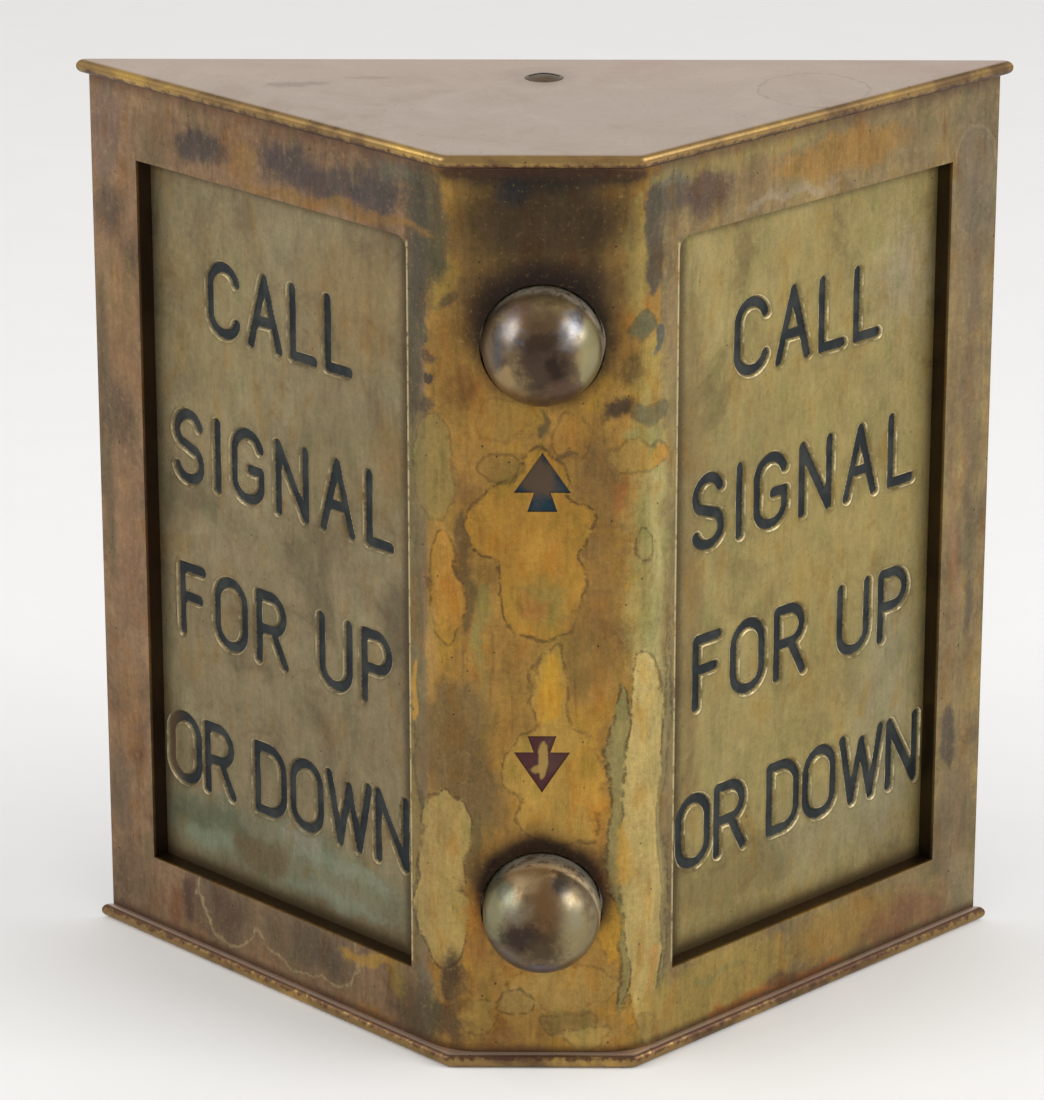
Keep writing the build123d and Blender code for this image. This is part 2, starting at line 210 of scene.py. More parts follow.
def place_group():
    """Object coordinates in millimetres, unrolled over the wedge and gently warped, and a mottle.

    Unrolled X is the distance along the outline from the middle of the front facet: x on the facet, and
    x stretched by the square root of two past the facet's corners. Solid is the place as it is, Even Place
    is unrolled but not warped, and Mottle is a patchy value from -1 to 1.
    """
    tree, given, result = new_group("unrolled place", [("Warp", "Float")], [
        ("Place", "Vector"), ("Even Place", "Vector"), ("Solid", "Vector"), ("Mottle", "Float")])
    coords = put(tree, "ShaderNodeTexCoord").outputs["Object"]
    solid = vector_calc(tree, "MULTIPLY", coords, (1 / MM,) * 3)
    parts = split(tree, solid)
    past = calc(tree, "MAXIMUM", calc(tree, "SUBTRACT", size_of(tree, parts[0]), FACET_HALF), 0.0)
    stretched = times(tree, past, math.sqrt(2) - 1)
    extra = times(tree, stretched, calc(tree, "SIGN", parts[0]))
    along = calc(tree, "ADD", parts[0], extra)
    even = put(tree, "ShaderNodeCombineXYZ", {0: along, 1: parts[2], 2: 0.0}).outputs[0]
    wide = noise(tree, solid, 0.09, 2.0, stretch=(1.0, 1.0, 0.6))["Color"]
    fine = noise(tree, solid, 0.42, 5.0, 0.65)["Color"]
    wide_shift = vector_calc(tree, "MULTIPLY", vector_calc(tree, "SUBTRACT", wide, (0.5,) * 3), (10.0,) * 3)
    fine_shift = vector_calc(tree, "MULTIPLY", vector_calc(tree, "SUBTRACT", fine, (0.5,) * 3), (2.4,) * 3)
    both = vector_calc(tree, "ADD", wide_shift, fine_shift)
    scaled = scale_vector(tree, both, given["Warp"])
    flat = vector_calc(tree, "MULTIPLY", scaled, (1.0, 1.0, 0.0))
    tree.links.new(vector_calc(tree, "ADD", even, flat), result["Place"])
    tree.links.new(even, result["Even Place"])
    tree.links.new(solid, result["Solid"])
    patches = noise(tree, solid, 0.45, 6.0, 0.72, 0.3)["Fac"]
    tree.links.new(ramp_value(tree, patches, 0.3, 0.7, -1.0, 1.0), result["Mottle"])
    return tree


def oval_group():
    """Distance in millimetres from an oval's rim, negative inside.

    With the offset from the centre divided by the half sizes, the rim is where its length, the reach, is 1;
    the distance is the first-order one, (reach - 1) / |gradient of reach|.
    """
    tree, given, result = new_group("oval", [("Place", "Vector"), ("Centre", "Vector"), ("Size", "Vector")],
                                    [("Away", "Float")])
    offset = vector_calc(tree, "SUBTRACT", given["Place"], given["Centre"])
    shrunk = vector_calc(tree, "DIVIDE", offset, given["Size"])
    reach = vector_calc(tree, "LENGTH", shrunk)
    gradient = vector_calc(tree, "LENGTH", vector_calc(tree, "DIVIDE", shrunk, given["Size"]))
    above = times(tree, calc(tree, "SUBTRACT", reach, 1.0), reach)
    tree.links.new(calc(tree, "DIVIDE", above, gradient), result["Away"])
    return tree


def stain_and_painted_light_group():
    """An oval mark with a broken, soft edge and a thin rim line, laid over a colour. It lays stained patches
    with their tidemarks, and in the same way painted highlights and painted shadows.

    Away is the distance from the mark's rim. The mark is full at -Softness and gone at +Softness, and the
    mottle moves that edge in and out; the rim line follows the rim.
    """
    tree, given, result = new_group(
        "laid_mark", [("Colour", "Color"), ("Away", "Float"), ("Mottle", "Float"), ("Mark Colour", "Color"),
                  ("Softness", "Float"), ("Amount", "Float"), ("Rim Line Colour", "Color"), ("Rim Line", "Float")],
        [("Colour", "Color")])
    push = times(tree, given["Mottle"], 0.55)
    broken = calc(tree, "MULTIPLY_ADD", push, given["Softness"], given["Away"])
    inner = times(tree, given["Softness"], -1.0)
    mask = times(tree, ramp_value(tree, broken, inner, given["Softness"], 1.0, 0.0), given["Amount"])
    rim = ramp_value(tree, size_of(tree, given["Away"]), 0.1, 0.6, 1.0, 0.0)
    rim = times(tree, rim, ramp_value(tree, given["Mottle"], -1.0, 0.2))
    laid = blend_colours(tree, mask, given["Colour"], given["Mark Colour"])
    laid = blend_colours(tree, times(tree, rim, given["Rim Line"]), laid, given["Rim Line Colour"])
    tree.links.new(laid, result["Colour"])
    return tree


def tarnish_group():
    """Broken colour of old brass: broad clouds, small flecks, dark pits, and their heights."""
    tree, given, result = new_group(
        "tarnish", [("Colour", "Color"), ("Place", "Vector"), ("Dark", "Color"), ("Bright", "Color"),
                    ("Cloud", "Float"), ("Fleck", "Float"), ("Streak", "Float")],
        [("Colour", "Color"), ("Height", "Float"), ("Gloss", "Float")])
    place = given["Place"]
    clouds = noise(tree, place, 0.055, 5.0, 0.62, 0.6)["Fac"]
    dark = times(tree, ramp_value(tree, clouds, 0.5, 0.66), given["Cloud"])
    bright = times(tree, ramp_value(tree, clouds, 0.47, 0.33), given["Cloud"])
    colour = blend_colours(tree, dark, given["Colour"], given["Dark"])
    colour = blend_colours(tree, bright, colour, given["Bright"])
    streaks = noise(tree, place, 0.5, 3.0, 0.6, 0.2, (1.0, 1.0, 0.12))["Fac"]
    streak_mask = times(tree, ramp_value(tree, streaks, 0.52, 0.72), given["Streak"])
    colour = blend_colours(tree, streak_mask, colour, given["Dark"])
    flecks = noise(tree, place, 0.9, 5.0, 0.7)["Fac"]
    fleck_mask = times(tree, ramp_value(tree, flecks, 0.56, 0.74), given["Fleck"])
    colour = blend_colours(tree, fleck_mask, colour, given["Dark"])
    light_mask = times(tree, ramp_value(tree, flecks, 0.44, 0.28), given["Fleck"])
    colour = blend_colours(tree, light_mask, colour, given["Bright"])
    cells = put(tree, "ShaderNodeTexVoronoi", {"Vector": place, "Scale": 0.33, "Randomness": 1.0})
    pits = ramp_value(tree, cells.outputs["Distance"], 0.10, 0.05)
    lot = put(tree, "ShaderNodeSeparateColor", {0: cells.outputs["Color"]}).outputs[0]
    some = ramp_value(tree, lot, 0.6, 0.7)
    pit_mask = times(tree, times(tree, pits, some), 0.7)
    colour = blend_colours(tree, pit_mask, colour, tint("2a211a"))
    height = calc(tree, "SUBTRACT", times(tree, flecks, 0.5), pit_mask)
    tree.links.new(colour, result["Colour"])
    tree.links.new(height, result["Height"])
    gloss = calc(tree, "ADD", times(tree, clouds, 0.5), times(tree, flecks, 0.5))
    tree.links.new(gloss, result["Gloss"])
    return tree


def weather_group():
    """Streaks, blotches and fine speckle that brighten and darken a colour."""
    tree, given, result = new_group(
        "weather", [("Colour", "Color"), ("Place", "Vector"), ("Strength", "Float")], [("Colour", "Color")])
    place = given["Place"]
    tone = None
    for scale, detail, upright, weight in ((0.13, 5.0, 0.55, 1.0), (0.9, 4.0, 0.16, 0.55),
                                           (0.8, 4.0, 1.0, 0.6), (3.2, 2.0, 1.0, 0.5)):
        wave = noise(tree, place, scale, detail, 0.65, 0.2, (1.0, 1.0, upright))["Fac"]
        part = times(tree, calc(tree, "SUBTRACT", wave, 0.5), weight)
        tone = calc(tree, "ADD", tone, part) if tone else part
    factor = calc(tree, "MULTIPLY_ADD", tone, given["Strength"], 1.0)
    scaled = scale_vector(tree, given["Colour"], factor)
    hue = noise(tree, place, 0.2, 4.0, 0.6, 0.3, (1.0, 1.0, 0.4))["Fac"]
    warm = times(tree, ramp_value(tree, hue, 0.52, 0.68), given["Strength"])
    cool = times(tree, ramp_value(tree, hue, 0.48, 0.32), given["Strength"])
    colour = blend_colours(tree, warm, scaled, (1.0, 0.86, 0.66, 1.0), "MULTIPLY")
    colour = blend_colours(tree, cool, colour, (0.84, 0.92, 0.84, 1.0), "MULTIPLY")
    tree.links.new(colour, result["Colour"])
    return tree


GROUPS = {}


def shared(name):
    """The shared group of that name, built the first time it is asked for."""
    makers = {"place": place_group, "oval": oval_group, "laid_mark": stain_and_painted_light_group, "tarnish": tarnish_group,
              "weather": weather_group}
    if name not in GROUPS:
        GROUPS[name] = makers[name]()
    return GROUPS[name]


def use(tree, name, links):
    node = put(tree, "ShaderNodeGroup", node_tree=shared(name))
    for key, value in links.items():
        if isinstance(value, bpy.types.NodeSocket):
            tree.links.new(value, node.inputs[key])
        else:
            node.inputs[key].default_value = value
    return node.outputs


def tarnish(tree, colour, place, dark, bright, cloud, fleck, streak):
    return use(tree, "tarnish", {"Colour": colour, "Place": place, "Dark": tint(dark), "Bright": tint(bright),
                                 "Cloud": cloud, "Fleck": fleck, "Streak": streak})


def new_material(name, metallic=0.8):
    """A material with one Principled shader; returns the material, its tree and the shader's inputs."""
    material = bpy.data.materials.new(name)
    material.use_nodes = True
    tree = material.node_tree
    shader = next(node for node in tree.nodes if node.type == "BSDF_PRINCIPLED")
    shader.inputs["Metallic"].default_value = metallic
    return material, tree, shader.inputs


def finish_shader(tree, inputs, colour, gloss, height, rough=(0.3, 0.5), bump=0.02):
    """Feed colour, roughness and a bump height in millimetres to the shader."""
    tree.links.new(colour, inputs["Base Color"])
    tree.links.new(ramp_value(tree, gloss, 0.35, 0.65, *rough), inputs["Roughness"])
    relief = put(tree, "ShaderNodeBump", {"Height": height, "Distance": bump * MM, "Strength": 1.0})
    tree.links.new(relief.outputs[0], inputs["Normal"])


# ---------------------------------------------------------------- marks of the case: patina, painted sheen and painted shadow

DARK_EDGE = "33261c"
PALE_EDGE = "b3a077"

# A mark's row holds an oval as unrolled x and z, half width and half height in mm, or a list of ovals that
# melt together. Then come the colour, the softness as a share of the first oval's smaller half, the amount,
# and for some the rim line's amount and colour, the tidemark of a stained patch.
# The front facet lies between -20 and 20; the sides run on from there to about 133 either way.

# Smooth dark patina at the top of the front facet, and dark halos round both buttons: dark patina with a
# painted shadow of each button on the facet.
TOP_PATINA_AND_BUTTON_SHADOW = [
    ([(-2, 86, 19.5, 13), (-1, 72, 18.5, 9)], "5c4a2c", 0.4, 0.6),
    ([(1, 88, 16.6, 12), (1, 74, 15, 9)], "3d2f21", 0.5, 0.9),
    (0, 97.5, 22, 3.2, "2a241f", 0.6, 0.85),
    (-6, 93.5, 3.6, 3, "24272a", 0.6, 0.75),
    # painted shadow round the upper button, over dark patina
    (0, 63.2, 15.6, 14.8, "241a16", 0.2, 0.92),
    # painted shadow round the lower button, in two layers, over dark patina
    (0, -61, 15.4, 14, "4a3420", 0.3, 0.75),
    (0, -62.4, 14.6, 13.6, "20150f", 0.13, 0.92),
]

CASE_STAINS_AND_SHEEN = [
    # both front corners and their stiles
    # painted sheen: these first two rows, a pale band down the rounded right front corner with a paler core,
    # stand for the corner's highlight
    (24, 10, 5.6, 44, "998b54", 0.5, 0.8),
    (25.8, 12, 2.6, 30, "aa9c68", 0.6, 0.7),
    (-29.5, 0, 3.4, 90, "696140", 0.6, 0.7),
    (-24, 33, 5, 11, "857443", 0.3, 0.75, 0.3),
    (26.5, 18, 1, 15, "a2975e", 0.7, 0.6),
    (29, 20, 1.6, 32, "8e7c50", 0.5, 0.7),
    # upper part of the facet
    (-16, 80, 3.6, 15, "7a5c30", 0.6, 0.7),
    (-21, 74, 3, 7, "8d7437", 0.5, 0.75),
    (19.5, 80, 3.2, 15, "97844a", 0.35, 0.8),
    (-19, 56, 6, 12, "83632f", 0.5, 0.6),
    (-17.5, 51, 3.2, 4, "6f4a26", 0.6, 0.7),
    (-19, 69.5, 2.2, 1.6, "4f4330", 0.5, 0.8),
    ([(-25.5, 86, 5.6, 13), (-27, 72, 3.6, 8)], "48463a", 0.4, 0.85),
    (-26, 62, 1.6, 3.4, "4b4936", 0.5, 0.8),
    (-25, 57, 1.7, 1.6, "574331", 0.3, 0.85),
    (-25, 52.5, 1.7, 1.2, "413833", 0.25, 0.9),
    (-25.6, 46, 1.6, 2.2, "564a3a", 0.4, 0.85),
    (22, 55, 6, 6, "9c8648", 0.4, 0.8),
    (17.5, 56.5, 2.6, 3.2, "5c4525", 0.7, 0.75),
    (20.5, 64, 4.6, 2.9, "5d5d45", 0.2, 0.9, 0.2),
    (26, 60.5, 1.5, 3, "54584e", 0.25, 0.88),
    (24.5, 84, 3.2, 14, "4c483f", 0.35, 0.88),
    (17, 48, 3.2, 2.5, "3e3228", 0.45, 0.9),
    (24, 46, 4.4, 2.6, "6a6449", 0.3, 0.85, 0.25),
    (23, 41, 4.4, 2.2, "8f8853", 0.5, 0.8),
    ([(19.5, 37, 5.4, 3.4), (25, 36.5, 3, 3)], "9a7d40", 0.2, 0.75, 0.35),
    (25.6, 36, 2.1, 2.5, "b38437", 0.4, 0.8),
    # the gold round the up arrow, with the drip lines above it
    (11.5, 28, 5, 14, "735936", 0.5, 0.7),
    (6.5, 42.5, 5.4, 5.4, "9a7034", 0.35, 0.7, 0.3),
    (-7.5, 44, 6, 4.6, "8f7036", 0.4, 0.65, 0.2),
    ([(-3, 22, 12.4, 9.4), (0, 33, 4.6, 5.6), (0, 8, 10, 11.5)], "a67b31", 0.12, 0.8, 0.6),
    (-8.5, 33.5, 5, 3.2, "8a6c36", 0.5, 0.7, 0.4),
    (-0.7, 44, 0.7, 3.6, "55482f", 0.6, 0.8),
    (4.6, 38, 2.6, 0.7, "55482f", 0.7, 0.7),
    (15.6, 27, 1.1, 4.2, "965e30", 0.8, 0.65),
    (0.5, 5, 4.4, 6, "83743c", 0.6, 0.7),
    (-2.2, 4.5, 2, 3, "965f2e", 0.8, 0.6),
    (13.5, 8, 3.4, 8, "856436", 0.6, 0.6),
    (21.5, 16, 3, 3, "8f834e", 0.4, 0.5, 0.5),
    (-16.2, 11, 1.9, 14, "5f4d2f", 0.45, 0.85),
    (-21, 7, 3.9, 12.5, "a57833", 0.18, 0.85, 0.5),
    (-13.4, 2, 1.4, 7, "7d7443", 0.6, 0.6),
    # lower part of the facet
    ([(-20, -27, 8.5, 14), (-14, -38, 6, 10)], "6c593a", 0.35, 0.8),
    (-24.4, -7, 1.6, 9, "9c7b46", 0.6, 0.75),
    (-14, -9, 1.3, 8, "857a45", 0.6, 0.6),
    (9, -6, 6, 9, "7b6034", 0.5, 0.65),
    ([(3, -33, 10.2, 11.5), (2, -15, 3.6, 10), (3, -45, 8, 6)], "a6843f", 0.12, 0.85, 0.45),
    (1.8, -14, 2.2, 7.5, "b3882e", 0.35, 0.85),
    (10.6, -34, 2.4, 9, "b08436", 0.5, 0.8),
    ([(15.4, -32, 1.9, 16), (15.2, -50, 1.9, 10), (17, -72, 1.8, 18)], "867d50", 0.35, 0.85, 0.6),
    ([(23.3, -53, 6.6, 45), (21.6, -28, 4.4, 20)], "b9a366", 0.1, 0.85, 0.5),
    (25.6, -80, 2, 5.5, "b88648", 0.7, 0.7),
    (29.6, -45, 1, 46, "8b7e53", 0.4, 0.8, 0.35),
    (17.2, -52, 1.6, 7, "b08a3e", 0.5, 0.8),
    ([(-22, -51, 6.8, 12), (-23, -68, 6.6, 12)], "a68d54", 0.1, 0.85, 0.6),
    (-14.3, -50.5, 1.8, 8.5, "6d5c37", 0.4, 0.85, 0.2),
    (-15, -66, 2.6, 6, "a8742d", 0.5, 0.85),
    (-14, -73, 3, 4, "8d5f2e", 0.6, 0.7),
    (13.6, -69, 2.6, 9, "b08431", 0.25, 0.88, 0.3),
    (13, -59, 1.4, 3, "a06a2c", 0.6, 0.7),
    (4, -84, 12, 5, "a2864a", 0.4, 0.7, 0.25),
    (-6, -87, 4.6, 2.6, "8b7442", 0.4, 0.6, 0.5),
    (6, -92, 6.5, 2.6, "7a6439", 0.5, 0.75, 0.3),
    (10, -95, 6, 2.2, "a58b4e", 0.4, 0.7, 0.3),
    (-14, -90, 4, 4.6, "94793e", 0.4, 0.7, 0.3),
    ([(-19.6, -82, 2.8, 7), (-21, -93, 4.6, 5)], "4b3b2b", 0.6, 0.85),
    (-27.5, -89, 3, 9, "6b624e", 0.5, 0.8),
    (-31, -18, 1.1, 8, "b88839", 0.4, 0.8),
    # right side: top rail, rear stile and bottom rail
    (30, 93, 9, 6, "564d41", 0.4, 0.85),
    (41, 90.5, 6.5, 6, "54413a", 0.5, 0.8),
    (31, 96, 5, 2.2, "6d6b58", 0.6, 0.6),
    (56, 92, 6, 5, "7b6444", 0.5, 0.6),
    (84, 90.5, 22, 4.2, "94703a", 0.4, 0.85),
    (66, 84.8, 15, 1.1, "9a8a72", 0.7, 0.55),
    (52, 97, 30, 1.8, "8c7c4a", 0.6, 0.6),
    (107, 88, 9, 8, "746449", 0.5, 0.6),
    (125, 92, 8, 8, "77694f", 0.5, 0.5),
    (126, 76, 7, 12, "786b59", 0.4, 0.6, 0.22, PALE_EDGE),
    (126.5, 62, 5, 18, "746654", 0.6, 0.55),
    (121, 20, 2, 60, "7f6a48", 0.6, 0.65),
    (127, 30, 2.6, 36, "6c5b46", 0.6, 0.65),
    (122, -10, 1.2, 22, "8a6850", 0.7, 0.6),
    (122.6, -54, 2.2, 7, "4e443c", 0.5, 0.8),
    (128, -22, 1.6, 8, "5d5345", 0.6, 0.7),
    (124, -76, 7, 12, "75634d", 0.5, 0.65),
    (45, -91, 26, 8, "a48a48", 0.35, 0.8),
    (88, -90, 17, 7, "99793a", 0.5, 0.7),
    (64, -98, 22, 1.5, "a4672f", 0.6, 0.75),
    (48, -90, 9, 0.9, "857d4c", 0.7, 0.6),
    (66, -97, 5, 1.6, "5a4a34", 0.6, 0.7),
    (108, -94, 14, 5, "805a3e", 0.5, 0.7),
    (129, -92, 4, 8, "8d8064", 0.6, 0.5),
    (24, -95, 5, 4, "8d7340", 0.5, 0.6, 0.2),
    # left side, in the same order
    (-30, 70, 3.6, 28, "4f473a", 0.5, 0.8),
    (-30.2, -45, 2.4, 18, "8d7644", 0.5, 0.6, 0.3),
    (-31, -92, 8, 8, "54452f", 0.5, 0.75),
    (-96, 89.5, 8.4, 4.4, "443c3b", 0.5, 0.85),
    (-83, 89.5, 4, 4.6, "84643a", 0.6, 0.75),
    ([(-64, 90, 13, 4.6), (-52, 88, 8, 4)], "4e4442", 0.5, 0.85),
    (-41, 89, 6.6, 5.4, "474140", 0.5, 0.85),
    (-49, 93, 0.9, 4.6, "73664e", 0.6, 0.6),
    (-35, 95, 5, 3, "616051", 0.6, 0.6),
    (-90, 97.4, 44, 1.3, "7f654a", 0.6, 0.6),
    (-55, 84, 30, 1.3, "876536", 0.6, 0.65),
    (-112, 86, 7, 7, "6d5a42", 0.6, 0.6),
    (-128, 87, 5, 11, "7d675a", 0.5, 0.7),
    (-126, 70, 5.6, 5, "5a4e44", 0.6, 0.75),
    (-123.5, 45, 4.4, 17, "856847", 0.6, 0.65),
    (-130, 20, 2.6, 34, "655641", 0.6, 0.7),
    (-124, -8, 3.6, 20, "85654a", 0.6, 0.6),
    (-126, -50, 4.6, 12, "866340", 0.6, 0.65),
    (-129, -70, 3.4, 12, "685544", 0.6, 0.65),
    (-125, -90, 8, 8, "5f4c38", 0.6, 0.6),
    (-105, -90, 2.6, 6.4, "50382f", 0.6, 0.8),
    (-111, -93, 4.4, 5, "80573d", 0.6, 0.7),
    ([(-91, -86, 11, 10), (-66, -85, 16, 11.6)], "6a5c46", 0.3, 0.6, 0.5, PALE_EDGE),
    (-94, -89, 5, 4, "5b4434", 0.6, 0.7),
    (-62, -88, 8, 6, "52493c", 0.6, 0.6),
    (-45, -85, 9, 1.6, "a8833c", 0.5, 0.8),
    (-45, -97, 6, 1.8, "976a30", 0.6, 0.6),
    (-36, -87, 2.6, 5, "8b7136", 0.5, 0.7),
]


def ovals_and_look(laid_mark):
    """A mark's row in two: its ovals, and the rest."""
    return (laid_mark[0], laid_mark[1:]) if isinstance(laid_mark[0], list) else ([laid_mark[:4]], laid_mark[4:])


def lay_stains_and_painted_light(tree, colour, place, mottle, laid_marks):
    """Lay the marks over a colour in the order of the list, stained patches and painted light alike; the
    ovals of one mark melt together.
    """
    for laid_mark in laid_marks:
        ovals, (tone, softness, amount, *rim_line) = ovals_and_look(laid_mark)
        away = None
        for x, z, half_x, half_z in ovals:
            links = {"Place": place, "Centre": (x, z, 0.0), "Size": (half_x, half_z, 1.0)}
            one = use(tree, "oval", links)["Away"]
            away = calc(tree, "SMOOTH_MIN", away, one, 3.0) if away else one
        links = {"Colour": colour, "Away": away, "Mottle": mottle, "Mark Colour": tint(tone), "Amount": amount,
                 "Softness": softness * min(ovals[0][2:]), "Rim Line": rim_line[0] if rim_line else 0.0,
                 "Rim Line Colour": tint(rim_line[1] if len(rim_line) > 1 else DARK_EDGE)}
        colour = use(tree, "laid_mark", links)["Colour"]
    return colour


def case_material(name, base, dark, bright, low, high):
    """Patinated brass for the stretch of the outline from low to high, in unrolled millimetres."""
    material, tree, inputs = new_material(name)
    place = use(tree, "place", {"Warp": 1.0})
    layer = tarnish(tree, base, place["Solid"], dark, bright, 0.65, 0.22, 0.22)
    near = [laid_mark for laid_mark in CASE_STAINS_AND_SHEEN if any(low - 9 < x + 1.5 * half and x - 1.5 * half < high + 9
                                                  for x, _, half, _ in ovals_and_look(laid_mark)[0])]
    colour = lay_stains_and_painted_light(tree, layer["Colour"], place["Place"], place["Mottle"], near)
    if low < 0 < high:
        settled = vector_calc(tree, "MULTIPLY", vector_calc(tree, "ADD", place["Place"], place["Even Place"]),
                              (0.5,) * 3)
        colour = lay_stains_and_painted_light(tree, colour, settled, 0.0, TOP_PATINA_AND_BUTTON_SHADOW)
    colour = use(tree, "weather", {"Colour": colour, "Place": place["Solid"], "Strength": 1.0})["Colour"]
    grain = tarnish(tree, colour, place["Solid"], "2c2118", "c2a05c", 0.0, 0.2, 0.14)
    parts = split(tree, place["Solid"])
    past = calc(tree, "SUBTRACT", size_of(tree, parts[0]), FACET_HALF)
    behind = calc(tree, "SUBTRACT", parts[1], FACE_Y)
    depth = times(tree, calc(tree, "SUBTRACT", behind, past), SIDE)
    depth = calc(tree, "MINIMUM", depth, behind)
    # painted shade: the window reveals are darkened, over their dark patina, except near the rounded corners
    reveal_shade = ramp_value(tree, depth, 0.35, 0.9, 0.0, 0.88)
    off_corner = ramp_value(tree, size_of(tree, past), CORNER_REACH, CORNER_REACH + 0.5)
    reveal_shade = times(tree, reveal_shade, off_corner)
    colour = blend_colours(tree, reveal_shade, grain["Colour"], tint("241a14"))
    # painted highlight: a thin pale line on the front edge of each window, where it catches the light, broken
    # by the mottle
    jamb_highlight = ramp_value(tree, size_of(tree, calc(tree, "SUBTRACT", past, WINDOW_START)), 0.1, 0.35, 0.6, 0.0)
    beside = ramp_value(tree, size_of(tree, parts[2]), WINDOW_HALF_HEIGHT - 0.5, WINDOW_HALF_HEIGHT - 1.5)
    patchy = ramp_value(tree, place["Mottle"], -0.9, 0.1)
    jamb_highlight = times(tree, times(tree, jamb_highlight, beside), patchy)
    colour = blend_colours(tree, jamb_highlight, colour, tint("cdbf8d"))
    under_top = ramp_value(tree, parts[2], CASE_TOP - 3.5, CASE_TOP, 0.0, 0.5)
    colour = blend_colours(tree, under_top, colour, tint("4a2c22"))
    above_foot = ramp_value(tree, parts[2], 2.5 - CASE_TOP, -CASE_TOP, 0.0, 0.75)
    colour = blend_colours(tree, above_foot, colour, tint("3b251b"))
    finish_shader(tree, inputs, colour, layer["Gloss"], grain["Height"], (0.3, 0.46), 0.03)
    return material


# ---------------------------------------------------------------- mesh helpers

def mesh_object(name, points, faces):
    """A mesh from points in millimetres and faces as index rows."""
    mesh = bpy.data.meshes.new(name)
    mesh.from_pydata((np.asarray(points) * MM).tolist(), [], [list(face) for face in faces])
    mesh.shade_smooth()
    mesh.update()
    obj = bpy.data.objects.new(name, mesh)
    bpy.context.scene.collection.objects.link(obj)
    return obj


def grid_quads(rows, columns, closed=False):
    """Quads of a grid whose points run row by row; closed joins the last column to the first."""
    index = np.arange(rows * columns).reshape(rows, columns)
    right = np.roll(index, -1, axis=1)
    last = columns if closed else columns - 1
    corners = (index[:-1, :last], right[:-1, :last], right[1:, :last], index[1:, :last])
    return np.stack([corner.ravel() for corner in corners], axis=1)


def refined_copy(node, name, body, edge_round, sharp=30.0):
    """A merged copy of a CAD node with worn edges and smooth round faces, standing for the node."""
    mesh = frame["nodes"][node].data.copy()
    mesh.name = name
    merged = bmesh.new()
    merged.from_mesh(mesh)
    bmesh.ops.remove_doubles(merged, verts=merged.verts, dist=0.002 * MM)
    bmesh.ops.dissolve_limit(merged, angle_limit=math.radians(0.3), verts=merged.verts, edges=merged.edges)
    merged.to_mesh(mesh)
    merged.free()
    if "custom_normal" in mesh.attributes:
        mesh.attributes.remove(mesh.attributes["custom_normal"])
    mesh.shade_smooth()
    mesh.set_sharp_from_angle(angle=math.radians(sharp))
    obj = bpy.data.objects.new(name, mesh)
    bpy.context.scene.collection.objects.link(obj)
    if edge_round > 0:
        bevel = obj.modifiers.new("worn edges", "BEVEL")
        bevel.width = edge_round
        bevel.segments = 2
        bevel.limit_method = "ANGLE"
        bevel.angle_limit = math.radians(sharp + 5)
        bevel.harden_normals = False
    stand_in(obj, node, body)
    return obj


def stand_in(obj, node, body):
    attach(obj, body)
    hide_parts(node)


def set_materials(obj, *materials):
    obj.data.materials.clear()
    for material in materials:
        obj.data.materials.append(material)


# ---------------------------------------------------------------- lettering

def arc(x, z, radius_x, radius_z, start, end):
    """An elliptic arc from start to end degrees, anticlockwise from +X."""
    return ("arc", x, z, radius_x, radius_z, start, end)


# Condensed capitals in a cell one unit high: each glyph's width, and its strokes. A stroke is an arc, or the
# x and z of the points that a run of straight lines joins.
GLYPHS = {
    "A": (0.60, [(0, 0, 0.3, 1, 0.6, 0), (0.115, 0.36, 0.485, 0.36)]),
    "C": (0.56, [arc(0.29, 0.72, 0.29, 0.28, 18, 180), (0, 0.72, 0, 0.28),
                 arc(0.29, 0.28, 0.29, 0.28, 180, 342)]),
    "D": (0.58, [(0.26, 0, 0, 0, 0, 1, 0.26, 1), arc(0.26, 0.68, 0.32, 0.32, 0, 90), (0.58, 0.68, 0.58, 0.32),
                 arc(0.26, 0.32, 0.32, 0.32, 270, 360)]),
    "F": (0.46, [(0, 0, 0, 1, 0.46, 1), (0, 0.54, 0.38, 0.54)]),
    "G": (0.58, [arc(0.29, 0.72, 0.29, 0.28, 18, 180), (0, 0.72, 0, 0.28),
                 arc(0.29, 0.28, 0.29, 0.28, 180, 360), (0.58, 0.28, 0.58, 0.46, 0.34, 0.46)]),
    "I": (0.0, [(0, 0, 0, 1)]),
    "L": (0.44, [(0, 1, 0, 0, 0.44, 0)]),
    "N": (0.58, [(0, 0, 0, 1, 0.58, 0, 0.58, 1)]),
    "O": (0.60, [arc(0.3, 0.7, 0.3, 0.3, 0, 180), (0, 0.7, 0, 0.3), arc(0.3, 0.3, 0.3, 0.3, 180, 360),
                 (0.6, 0.3, 0.6, 0.7)]),
    "P": (0.52, [(0, 0, 0, 1, 0.26, 1), arc(0.26, 0.74, 0.26, 0.26, -90, 90), (0.26, 0.48, 0, 0.48)]),
    "R": (0.56, [(0, 0, 0, 1, 0.27, 1), arc(0.27, 0.74, 0.26, 0.26, -90, 90), (0.27, 0.48, 0, 0.48),
                 (0.3, 0.48, 0.56, 0)]),
    "S": (0.54, [arc(0.27, 0.75, 0.26, 0.25, 20, 230), arc(0.27, 0.25, 0.27, 0.25, -160, 50),
                 (0.103, 0.558, 0.444, 0.442)]),
    "U": (0.58, [(0, 1, 0, 0.29), arc(0.29, 0.29, 0.29, 0.29, 180, 360), (0.58, 0.29, 0.58, 1)]),
    "W": (0.84, [(0, 1, 0.21, 0, 0.42, 0.9, 0.63, 0, 0.84, 1)]),
    " ": (0.16, []),
}


